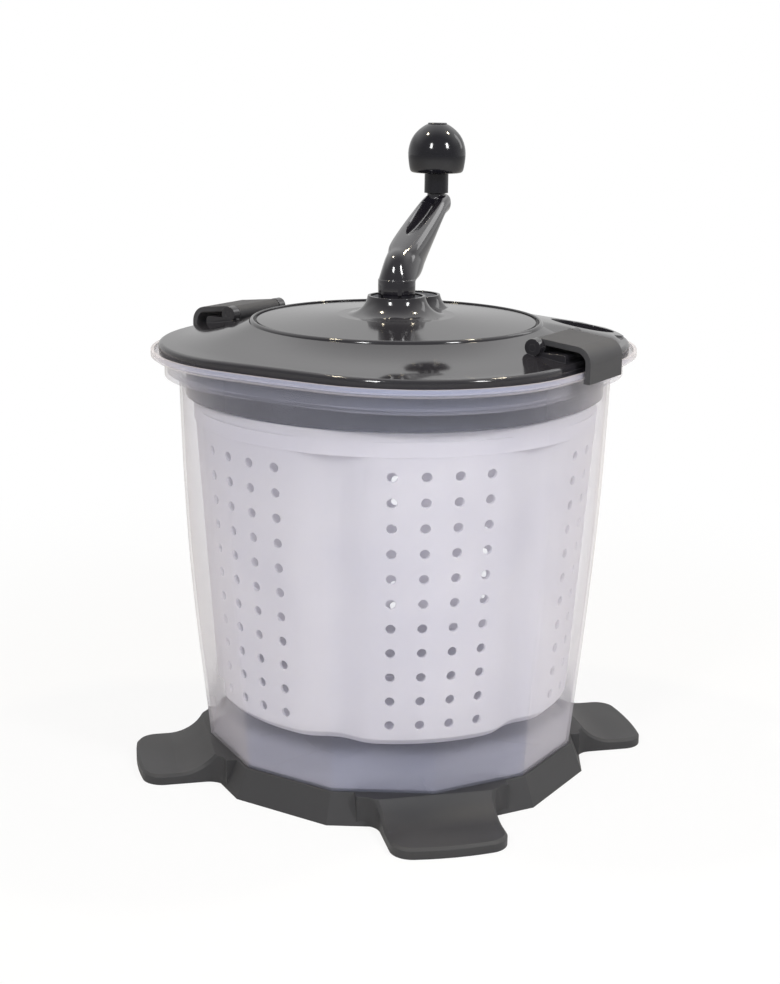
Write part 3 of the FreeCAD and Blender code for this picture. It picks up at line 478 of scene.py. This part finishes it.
bpy.ops.transform.translate(value=(0.0, 0.0, -edge_height))
bpy.ops.mesh.edge_face_add()
bpy.ops.mesh.select_all(action="SELECT")
bpy.ops.mesh.normals_make_consistent(inside=False)
bpy.ops.object.mode_set(mode="OBJECT")
thicken(basket, wall_thickness).use_even_offset = True
apply_modifiers(basket)
print("basket skin:", len(basket.data.polygons), "faces")

# %% [markdown]
# ## Drains, hub and drive ribs
# Water leaves the floor through twelve drains, and a hub in the middle takes the bearing bush. At
# the top, three pairs of ribs are what the drive plate's lugs push on, and a bead on the rim
# closes most of the gap under the lid's skirt, as in the photograph. Drains are few, so one
# Boolean with twelve pegs is the short way. The hub is a cylinder with its end inset and sunk.

# %% Drains
drain_radius = 4.5 * MM
drain_rings = (50.0 * MM, 92.0 * MM)
peg_length = 20.0 * MM
pegs = []
for ring, reach in enumerate(drain_rings):
    for k in range(panel_count):
        bearing = panel_angle * (k + 0.5 * ring)
        fresh()
        place = (reach * math.sin(bearing), -reach * math.cos(bearing), floor_height)
        bpy.ops.mesh.primitive_cylinder_add(vertices=16, radius=drain_radius, depth=peg_length,
                                            location=place)
        pegs.append(bpy.context.object)
join(pegs)
cut(basket, pegs[0])
print("drained basket:", len(basket.data.polygons), "faces")

# %% Hub
hub_radius = 13.55 * MM
hub_bottom = basket_low.z
hub_top = 64.0 * MM
bore_wall = 4.48 * MM
bore_depth = 15.0 * MM
fresh()
bpy.ops.mesh.primitive_cylinder_add(vertices=64, radius=hub_radius, depth=hub_top - hub_bottom,
                                    location=(0.0, 0.0, 0.5 * (hub_top + hub_bottom)))
bpy.ops.object.transform_apply()
hub = bpy.context.object
bpy.ops.object.mode_set(mode="EDIT")
pick(hub, "FACE", lambda p: p.z < hub_bottom + near)
bpy.ops.mesh.inset(thickness=bore_wall)
bpy.ops.mesh.extrude_region()
bpy.ops.transform.translate(value=(0.0, 0.0, bore_depth))
bpy.ops.object.mode_set(mode="OBJECT")
print("hub:", len(hub.data.polygons), "faces")

# %% Ribs
rib_places = 3
rib_inner = 130.0 * MM
rib_outer = 147.0 * MM
rib_side = 15.1 * MM
rib_thickness = 3.0 * MM
rib_height = 22.0 * MM
rib_round = 0.5 * MM
ribs = []
for k in range(rib_places):
    for side in (-1.0, 1.0):
        fresh()
        bpy.ops.mesh.primitive_cube_add(size=1.0)
        rib = bpy.context.object
        bpy.ops.object.mode_set(mode="EDIT")
        bpy.ops.transform.resize(value=(rib_thickness, rib_outer - rib_inner, rib_height),
                                 center_override=origin)
        bpy.ops.mesh.bevel(offset=rib_round, segments=2, affect="EDGES")
        bpy.ops.transform.translate(value=(side * rib_side, -0.5 * (rib_outer + rib_inner),
                                           basket_top - 0.5 * rib_height))
        bpy.ops.object.mode_set(mode="OBJECT")
        rib.rotation_euler = (0.0, 0.0, math.radians(360.0 / rib_places * k))
        bpy.ops.object.transform_apply()
        ribs.append(rib)
print("ribs:", len(ribs))

# %% Bead on the rim, and the whole basket
bead_high = basket_top + 4.8 * MM
bead_low = basket_top - 1.0 * MM
bead_wall = 2.2 * MM
bead_round = 0.7 * MM
fresh()
bpy.ops.mesh.primitive_cylinder_add(vertices=120, radius=rim_radius, depth=bead_high - bead_low,
                                    end_fill_type="NOTHING",
                                    location=(0.0, 0.0, 0.5 * (bead_high + bead_low)))
bpy.ops.object.transform_apply()
bead = bpy.context.object
thicken(bead, bead_wall)
rounding = bead.modifiers.new("round", "BEVEL")
rounding.width = bead_round
rounding.segments = 3
rounding.limit_method = "ANGLE"
apply_modifiers(bead)
join([basket, hub, bead] + ribs)
soften(basket, 32.0)
dress(basket, basket_finish)
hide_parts("basket")
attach(basket, "basket")
print("basket:", len(basket.data.polygons), "faces")

# %% [markdown]
# ## The crank
# The hub of the crank runs over into its arm in one soft bend, and the arm is flat on top with
# round flanks. Spinning gives only round forms, and a Bend modifier keeps one section. So a ring
# of points is extruded along the arm. Each new ring lies between a low and a high point, is
# rounder or flatter above by its power, and may be wider on one side. A Subdivision Surface
# smooths the lot. The plan lies along +X, and the crank is turned to its bearing at the end.

# %% Rings of the arm
crank_angle = math.radians(56.5)
throw = 85.0 * MM
ring_count = 24
round_power, flat_power, eased_power = 2.2, 4.5, 2.8
arm_rings = (((13.7, 368.0), (-13.7, 368.0), (13.7, 13.7), round_power),
             ((13.9, 370.2), (-13.7, 370.2), (13.7, 13.7), round_power),
             ((25.0, 369.5), (-12.9, 377.0), (13.4, 13.4), round_power),
             ((34.0, 371.5), (-10.2, 384.0), (12.8, 12.8), round_power),
             ((39.5, 375.3), (-5.6, 389.6), (12.4, 12.3), round_power),
             ((41.0, 376.6), (-0.6, 392.4), (12.2, 11.9), round_power),
             ((43.5, 378.9), (3.2, 393.5), (12.3, 12.0), 3.2),
             ((48.0, 383.5), (10.5, 397.2), (12.4, 12.2), flat_power),
             ((58.0, 392.5), (33.0, 407.5), (11.6, 12.3), flat_power),
             ((71.0, 403.5), (58.0, 419.0), (9.6, 12.0), flat_power),
             ((81.0, 410.5), (78.0, 428.0), (8.0, 11.2), flat_power),
             ((90.0, 411.5), (91.0, 429.0), (7.6, 10.4), flat_power),
             ((91.0, 412.0), (92.0, 428.6), (7.4, 10.2), flat_power))


def ring_place(ring, number):
    """Where a ring's point lies: between its low and high points, flatter above."""
    (low_x, low_z), (high_x, high_z), half_widths, power = ring
    angle = 2.0 * math.pi * number / ring_count
    across, up = math.sin(angle), math.cos(angle)
    if up > 0.0:
        fullness = 2.0 / min(power, flat_power if across > -near else eased_power)
    else:
        fullness = 2.0 / round_power
    rise, side = [math.copysign(abs(v) ** fullness, v) for v in (up, across)]
    return Vector((0.5 * (low_x + high_x) + 0.5 * rise * (high_x - low_x),
                   side * half_widths[side < 0.0],
                   0.5 * (low_z + high_z) + 0.5 * rise * (high_z - low_z))) * MM


def nearest(point, places):
    """Number of the place that lies nearest to a point."""
    return min(range(len(places)), key=lambda k: (places[k] - point.co).length)


fresh()
bpy.ops.mesh.primitive_circle_add(vertices=ring_count, radius=1.0)
crank = bpy.context.object
crank.name = "crank_moulding"
numbers = list(range(ring_count))
for number, point in enumerate(crank.data.vertices):
    point.co = ring_place(arm_rings[0], number)
for ring in arm_rings[1:]:
    before = [point.co.copy() for point in crank.data.vertices[-ring_count:]]
    bpy.ops.object.mode_set(mode="EDIT")
    bpy.ops.mesh.select_mode(type="EDGE")
    bpy.ops.mesh.extrude_edges_indiv()
    bpy.ops.object.mode_set(mode="OBJECT")
    new = crank.data.vertices[-ring_count:]
    numbers = [numbers[nearest(point, before)] for point in new]
    for number, point in zip(numbers, new):
        point.co = ring_place(ring, number)
print("arm rings:", len(arm_rings), "with", len(crank.data.vertices), "points")

# %% Close the ends, smooth and dish the arm
end_inset = 0.8 * MM
arm_foot = arm_rings[0][0][1] * MM
bpy.ops.object.mode_set(mode="EDIT")
bpy.ops.mesh.edge_face_add()
bpy.ops.mesh.inset(thickness=end_inset)
pick(crank, "EDGE", lambda p: p.z < arm_foot + near)
bpy.ops.mesh.edge_face_add()
bpy.ops.mesh.select_all(action="SELECT")
bpy.ops.mesh.normals_make_consistent(inside=False)
bpy.ops.object.mode_set(mode="OBJECT")
smooth = crank.modifiers.new("smooth", "SUBSURF")
smooth.levels = smooth.render_levels = 3
apply_modifiers(crank)

dish_half = (46.0 * MM, 8.0 * MM, 9.0 * MM)
dish_middle = (53.0 * MM, -0.6 * MM, 421.9 * MM)
dish_slope = math.radians(-24.0)
fresh()
bpy.ops.mesh.primitive_uv_sphere_add(segments=64, ring_count=32, radius=1.0, location=dish_middle,
                                     rotation=(0.0, dish_slope, 0.0), scale=dish_half)
cut(crank, bpy.context.object)
print("arm:", len(crank.data.polygons), "faces")

# %% Hub, stub and neck
hub_low, hub_high = 358.0 * MM, 371.0 * MM
stub_low, stub_overlap = 346.0 * MM, 0.5 * MM
neck_low, neck_high = 422.0 * MM, 429.0 * MM
hub_reach, stub_reach, neck_reach = 13.9 * MM, 8.89 * MM, 7.0 * MM
hub_round, stub_round, neck_round = 0.2 * MM, 0.6 * MM, 0.3 * MM
notch_count = 6
notch_size = 2.5 * MM
notch_reach = 14.0 * MM


def turned_bar(sides, radius, low, high, x, soft):
    """Upright bar with softened ends, made from a cylinder."""
    fresh()
    bpy.ops.mesh.primitive_cylinder_add(vertices=sides, radius=radius, depth=high - low,
                                        location=(x, 0.0, 0.5 * (low + high)))
    bpy.ops.object.transform_apply()
    bar = bpy.context.object
    bpy.ops.object.mode_set(mode="EDIT")
    for end in (low, high):
        pick(bar, "EDGE", lambda p: abs(p.z - end) < near)
        bpy.ops.mesh.bevel(offset=soft, segments=2, affect="EDGES")
    bpy.ops.object.mode_set(mode="OBJECT")
    return bar


crank_hub = turned_bar(96, hub_reach, hub_low, hub_high, 0.0, hub_round)
stub = turned_bar(6, stub_reach, stub_low, hub_low + stub_overlap, 0.0, stub_round)
neck = turned_bar(64, neck_reach, neck_low, neck_high, throw, neck_round)
notches = []
for k in range(notch_count):
    angle = 2.0 * math.pi * (k + 0.5) / notch_count
    fresh()
    place = (notch_reach * math.cos(angle), notch_reach * math.sin(angle),
             hub_low + 0.5 * notch_size)
    bpy.ops.mesh.primitive_cube_add(size=notch_size, rotation=(0.0, 0.0, angle), location=place)
    notches.append(bpy.context.object)
join(notches)
cut(crank_hub, notches[0])
join([crank, crank_hub, stub, neck])
crank.rotation_euler = (0.0, 0.0, crank_angle)
bpy.ops.object.transform_apply()
soften(crank, 35.0)
dress(crank, crank_finish)
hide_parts("crank_arm")
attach(crank, "crank")
print("crank:", len(crank.data.polygons), "faces")

# %% [markdown]
# ## The knob
# A turned form is a half profile spun round its axis. The profile is drawn point by point, from
# the bore along the base, up the side and over the crown, and smoothed before it is spun, so that
# the side runs over into the crown without an edge. The bead round the lid's disc is made in the
# same way, so the steps are a function.

# %% Spin a profile
def spin_profile(name, profile, low, steps):
    """Turned piece, left in edit mode: a half profile in millimetres, smoothed and spun."""
    fresh()
    bpy.ops.mesh.primitive_circle_add(vertices=len(profile), radius=1.0)
    piece = bpy.context.object
    piece.name = name
    for point, (reach, height) in zip(piece.data.vertices, profile):
        point.co = (reach * MM, 0.0, low + height * MM)
    smooth = piece.modifiers.new("smooth", "SUBSURF")
    smooth.levels = smooth.render_levels = 1
    apply_modifiers(piece)
    bpy.ops.object.mode_set(mode="EDIT")
    bpy.ops.mesh.select_all(action="SELECT")
    bpy.ops.mesh.spin(steps=steps, angle=2.0 * math.pi, center=origin, axis=(0.0, 0.0, 1.0))
    bpy.ops.mesh.select_all(action="SELECT")
    bpy.ops.mesh.remove_doubles(threshold=0.5 * weld)
    bpy.ops.mesh.normals_make_consistent(inside=False)
    return piece


print("profile spinner ready")

# %% Spin the knob
knob_low, knob_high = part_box("hand_knob")
knob_middle = 0.5 * (knob_low + knob_high)
knob_base = knob_low.z
knob_steps = 72
knob_profile = ((4.05, 0.0), (4.05, 0.0), (17.0, 0.0), (19.3, 0.2), (20.6, 1.4), (21.2, 4.0),
                (21.9, 8.5), (22.4, 13.0), (22.3, 17.5), (20.9, 23.5), (18.2, 28.7), (14.2, 32.9),
                (10.6, 35.4), (8.6, 36.6), (7.6, 37.0), (7.45, 36.6), (7.45, 36.0), (7.45, 26.0),
                (7.45, 25.7), (7.2, 25.7), (4.3, 25.7), (4.05, 25.7), (4.05, 25.4), (4.05, 0.3))
knob = spin_profile("knob_moulding", knob_profile, knob_base, knob_steps)
bpy.ops.transform.translate(value=(knob_middle.x, knob_middle.y, 0.0))
bpy.ops.object.mode_set(mode="OBJECT")
soften(knob, 40.0)
dress(knob, knob_finish)
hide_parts("hand_knob")
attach(knob, "knob")
print("knob:", len(knob.data.polygons), "faces")

# %% [markdown]
# ## The bead round the lid's disc
# A rounded bead on the lid frames the disc. It is spun like the knob. Its inner side stands on the
# wall of the disc's groove, and its foot is sunk a little into the crown.

# %% Spin the bead
bead_steps = 144
bead_profile = ((106.3, 339.6), (106.3, 341.2), (106.6, 341.8), (107.4, 342.05),
                (108.4, 341.75), (109.2, 340.95), (109.7, 339.9), (109.8, 338.6))
disc_bead = spin_profile("disc_bead", bead_profile, 0.0, bead_steps)
bpy.ops.object.mode_set(mode="OBJECT")
soften(disc_bead, 40.0)
dress(disc_bead, lid_finish)
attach(disc_bead, "lid")
print("disc bead:", len(disc_bead.data.polygons), "faces")

# %% [markdown]
# ## The swell round the fill opening
# On the real lid the rim of the fill opening is the top of a soft swell that runs out into the
# crown. The solid has a plain flared rim there. So a grid is laid over it, whose points go from
# the crown's hollow curve, at the sides, to the rim's straight slope, in the middle. It gets a
# little thickness and an oval hole, and its borders lie just under the crown.

# %% Lay the swell over the rim
slope_high, slope_low = Vector((106.4, 341.0)), Vector((182.3, 326.5))
crown_middle, crown_low = Vector((136.0, 331.5)), Vector((182.3, 327.0))
swell_turn, swell_full = math.radians(28.0), math.radians(11.0)
corner_reach, flat_reach, edge_gap = 176.4, 161.8, 3.4
start_reach, fade_width = slope_high.x + 0.3, 8.0
lift, sink, swell_skin = 0.15, 0.3, 0.6 * MM
grid_along, grid_round = 30, 60


def circle_through(a, b, c):
    """Middle and radius of the circle through three points."""
    turn = 2.0 * (a.x * (b.y - c.y) + b.x * (c.y - a.y) + c.x * (a.y - b.y))
    squares = [v.length_squared for v in (a, b, c)]
    x = (squares[0] * (b.y - c.y) + squares[1] * (c.y - a.y) + squares[2] * (a.y - b.y)) / turn
    y = (squares[0] * (c.x - b.x) + squares[1] * (a.x - c.x) + squares[2] * (b.x - a.x)) / turn
    return Vector((x, y)), (Vector((x, y)) - a).length


def soft_step(share):
    """Smooth way from 0 to 1."""
    share = min(1.0, max(0.0, share))
    return share * share * (3.0 - 2.0 * share)


crown_centre, crown_radius = circle_through(slope_high, crown_middle, crown_low)
fresh()
bpy.ops.mesh.primitive_grid_add(x_subdivisions=grid_along, y_subdivisions=grid_round, size=2.0)
fill_swell = bpy.context.object
fill_swell.name = "fill_swell"
for point in fill_swell.data.vertices:
    turn = swell_turn * point.co.y
    reach = flat_reach + (corner_reach - flat_reach) * math.cos(2.0 * turn) ** 2 - edge_gap
    radius = start_reach + (reach - start_reach) * 0.5 * (point.co.x + 1.0)
    full = soft_step((swell_turn - abs(turn)) / (swell_turn - swell_full))
    full *= soft_step((reach - radius) / fade_width)
    crown = crown_centre.y - math.sqrt(crown_radius ** 2 - (radius - crown_centre.x) ** 2)
    share = (radius - slope_high.x) / (slope_low.x - slope_high.x)
    slope = slope_high.y + (slope_low.y - slope_high.y) * share
    height = crown + full * (slope + lift - crown) - sink * (1.0 - full)
    point.co = Vector((radius * math.cos(turn), radius * math.sin(turn), height)) * MM
thicken(fill_swell, swell_skin)
apply_modifiers(fill_swell)
print("fill swell:", len(fill_swell.data.polygons), "faces")

# %% Oval hole
oval_middle = (146.5 * MM, 0.0, 333.0 * MM)
oval_half = (24.6 * MM, 22.1 * MM, 1.0)
oval_depth = 40.0 * MM
fresh()
bpy.ops.mesh.primitive_cylinder_add(vertices=96, radius=1.0, depth=oval_depth,
                                    location=oval_middle)
oval = bpy.context.object
oval.scale = oval_half
cut(fill_swell, oval)
soften(fill_swell, 30.0)
dress(fill_swell, lid_finish)
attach(fill_swell, "lid")
print("fill swell with its hole:", len(fill_swell.data.polygons), "faces")

# %% [markdown]
# ## The tub's swelling wall
# Half-way up, the tub's wall stands a few millimetres further out than a straight line from its
# foot to its flange, and its lip stands a little lower than the solid's. The solid's points stay
# where they are, so the wall is divided into rows and a Lattice swells it. Its top row is set
# lower, for the lip. Dividing also splits many faces that stay flat, so a Decimate afterwards
# takes those splits out again.

# %% Swell the tub
tub = nodes["tub"]
swell_low, swell_high = 0.026, 0.300
swell_share = 0.028
lip_drop = 2.6 * MM
row_splits = 2
cage_rows = 24
faces_kept = 0.4
rows = tub.modifiers.new("rows", "SUBSURF")
rows.subdivision_type = "SIMPLE"
rows.levels = rows.render_levels = row_splits
tub_low, tub_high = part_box("tub")
fresh()
bpy.ops.object.add(type="LATTICE", location=0.5 * (tub_low + tub_high))
cage = bpy.context.object
cage.name = "tub_cage"
cage.hide_render = True
cage.data.points_u = cage.data.points_v = 2
cage.data.points_w = cage_rows
cage.data.interpolation_type_u = cage.data.interpolation_type_v = "KEY_LINEAR"
cage.data.interpolation_type_w = "KEY_LINEAR"
spans = []
for axis in range(3):
    along = [point.co[axis] for point in cage.data.points]
    spans.append(max(along) - min(along))
cage.scale = [(tub_high[axis] - tub_low[axis]) / spans[axis] for axis in range(3)]
bpy.context.view_layer.update()
for point in cage.data.points:
    height = (cage.matrix_world @ point.co).z
    share = min(1.0, max(0.0, (height - swell_low) / (swell_high - swell_low)))
    spread = 1.0 + swell_share * math.sin(math.pi * share)
    drop = lip_drop / cage.scale.z if height > tub_high.z - near else 0.0
    point.co_deform = (point.co.x * spread, point.co.y * spread, point.co.z - drop)
swell = tub.modifiers.new("swell", "LATTICE")
swell.object = cage
fewer = tub.modifiers.new("fewer", "DECIMATE")
fewer.ratio = faces_kept
print("tub cage:", len(cage.data.points), "points, spans", [round(v, 2) for v in spans])

# %% [markdown]
# ## Milky tub
# The tub is unpigmented polypropylene, which scatters a little and lets most light through.
# Glass would bend the view of the holes behind it, and the wall is too thin for that, so the
# finish is a pale plastic that is mostly clear, and cloudier at the lip and where it is seen
# edge on, because there the eye looks through more of it.

# %% Tub finish
wall_haze, cloud_haze, flange_haze, lip_haze = 0.06, 0.03, 0.06, 0.21
sump_haze, edge_haze, edge_power = 0.16, 0.45, 3.0
flange_band, lip_band, sump_band = (0.300, 0.306), (0.314, 0.320), (0.060, 0.045)
milk_cloud_size = 0.05
milk_gloss, milk_gloss_spread = 0.16, 0.08
ripple_size, ripple_depth = 0.012, 0.00006
cool_milk, warm_milk = (0.60, 0.64, 0.86, 1.0), (0.74, 0.68, 0.68, 1.0)
f = Finish("tub_milky")
height = f.add("ShaderNodeSeparateXYZ", None, {0: f.place()}, 2)
flange, lip, sump = [f.ramp(height, *band) for band in (flange_band, lip_band, sump_band)]
edge_on = f.add("ShaderNodeLayerWeight", None, {"Blend": 0.5}, 1)
cloud = f.noise(milk_cloud_size, cloud_detail)
haze = (wall_haze + cloud * cloud_haze + flange * flange_haze + lip * lip_haze
        + sump * sump_haze + edge_on ** edge_power * edge_haze)
tone = f.mix(edge_on, cool_milk, warm_milk)
ripple = f.add("ShaderNodeBump", None,
               {"Height": f.noise(ripple_size), "Distance": ripple_depth,
                "Strength": grain_strength})
milk = f.add("ShaderNodeBsdfPrincipled", None,
             {"Base Color": tone, "Roughness": milk_gloss + cloud * milk_gloss_spread,
              "Alpha": haze, "Normal": ripple})
tub_finish = f.close(milk)
wear(tub_finish, "tub")
print("tub finish ready")

# %% [markdown]
# ## Steel
# Pins, screws and the retaining ring are plain stainless wire and bar. Turned steel shows fine
# rings, so a wave round the upright axis varies its gloss.

# %% Steel finish
dark_steel, light_steel = (0.50, 0.50, 0.52, 1.0), (0.62, 0.62, 0.63, 1.0)
ring_scale, ring_waver = 900.0, 2.0
patch_size = 0.004
steel_gloss, ring_gloss = 0.22, 0.12
f = Finish("steel_turned")
rings = f.add("ShaderNodeTexWave", {"wave_type": "RINGS", "rings_direction": "Z"},
              {"Vector": f.place(), "Scale": ring_scale, "Distortion": ring_waver})
steel_tone = f.mix(f.noise(patch_size), dark_steel, light_steel)
steel = f.add("ShaderNodeBsdfPrincipled", None,
              {"Base Color": steel_tone, "Metallic": 1.0,
               "Roughness": steel_gloss + rings * ring_gloss})
steel_finish = f.close(steel)
wear(steel_finish, "pivot_pin", "lid_disc_screws", "drive_plate_screw", "spin_ring",
     "knob_spindle", "knob_screw")
print("finishes:", len(bpy.data.materials))

# %% [markdown]
# ## Floor and sky
# The photograph is a cut-out on white. The floor is white to the camera and paler in reflections,
# and still catches a faint shadow. The sky is plain white in view. As a light it is dim, because
# the lamps do most of the lighting. Gloss mirrors it bright behind the machine, and brightest
# well above the horizon, like a lit ceiling, which is what greys the lid and the top of the arm.

# %% Floor
white_colour = (1.0, 1.0, 1.0, 1.0)
floor_colour = (0.80, 0.80, 0.80, 1.0)
floor_size = 12.0
shadow_near, shadow_far, shadow_white = 0.25, 0.9, 0.86
floor_mirrored = 0.2
fresh()
bpy.ops.mesh.primitive_plane_add(size=floor_size, location=(0.0, 0.0, cad_low.z))
floor = bpy.context.object
floor.name = "studio_floor"
f = Finish("floor_white")
direct = f.add("ShaderNodeLightPath", out=0)
mirrored = f.add("ShaderNodeLightPath", out=3)
away = f.add("ShaderNodeVectorMath", {"operation": "LENGTH"}, {0: f.place()}, 1)
fade = f.ramp(away, shadow_near, shadow_far, shadow_white, 1.0)
matte = f.add("ShaderNodeBsdfDiffuse", None, {"Color": floor_colour})
white = f.add("ShaderNodeEmission", None, {"Color": white_colour, "Strength": 1.0})
shown = direct * fade + mirrored * floor_mirrored
dress(floor, f.close(f.add("ShaderNodeMixShader", None, {0: shown, 1: matte, 2: white})))
print("floor", floor_size, "m wide")

# %% Sky
sky_light = 0.40
ceiling_low, ceiling_high = 0.25, 0.6
ceiling_gain, horizon_loss = 0.6, 0.26
front_edge, back_edge = -0.5, 0.4
world = bpy.data.worlds.new("studio_sky")
bpy.context.scene.world = world
world.use_nodes = True
f = Finish("", world.node_tree)
direct = f.add("ShaderNodeLightPath", out=0)
mirrored = f.add("ShaderNodeLightPath", out=3)
through = f.add("ShaderNodeLightPath", out=6)
view = f.add("ShaderNodeTexCoord")
up = f.add("ShaderNodeSeparateXYZ", None, {0: view}, 2)
high = f.ramp(up, ceiling_low, ceiling_high)
back_way = (-math.sin(camera_bearing), math.cos(camera_bearing), 0.0)
behind = f.add("ShaderNodeVectorMath", {"operation": "DOT_PRODUCT"}, {0: view, 1: back_way}, 1)
backdrop = f.ramp(behind, front_edge, back_edge)
bright = 1.0 + mirrored * (high * ceiling_gain - horizon_loss)
dim = f.add("ShaderNodeBackground", None, {"Color": white_colour, "Strength": sky_light})
full = f.add("ShaderNodeBackground", None, {"Color": white_colour, "Strength": bright})
shown = f.add("ShaderNodeMath", {"operation": "ADD", "use_clamp": True},
              {0: direct + mirrored * backdrop, 1: through})
f.close(f.add("ShaderNodeMixShader", None, {0: shown, 1: dim, 2: full}), "ShaderNodeOutputWorld")
print("sky ready, light", sky_light)

# %% [markdown]
# ## Lamps
# Glossy pieces tell where the lamps stood: each highlight on the hub, the knob and the disc
# bisects the way to the eye and the way to its lamp. Two warm ones hung from the ceiling, two
# tall white ones stood in front, and a dim one on the right, a little behind, draws the arm's
# flank. The directions are right, up and towards the eye.

# %% Lamps
camera_turn = camera.matrix_world.to_3x3()
aim = Vector((0.0, 0.0, 0.32))


def lamp(name, toward, distance, size, power, colour):
    """Area lamp in a direction from the machine's lid, and facing it."""
    way = (camera_turn @ Vector(toward)).normalized()
    fresh()
    bpy.ops.object.light_add(type="AREA", location=aim + way * distance,
                             rotation=way.to_track_quat("Z", "Y").to_euler())
    light = bpy.context.object
    light.name = name
    light.data.shape = "RECTANGLE"
    light.data.size, light.data.size_y = size
    light.data.energy = power
    light.data.color = colour


warm = (1.0, 0.88, 0.66)
plain = (1.0, 1.0, 1.0)
lamp("ceiling_left", (-0.416, 0.893, 0.186), 2.2, (0.20, 0.14), 14.0, warm)
lamp("ceiling_right", (0.49, 0.873, 0.037), 2.2, (0.20, 0.14), 14.0, warm)
lamp("front_left", (-0.367, 0.347, 0.862), 1.9, (0.24, 0.5), 14.0, plain)
lamp("front_right", (0.626, 0.362, 0.69), 1.9, (0.24, 0.5), 16.0, plain)
lamp("side_softbox", (0.76, 0.53, -0.375), 2.2, (0.5, 1.1), 3.0, plain)
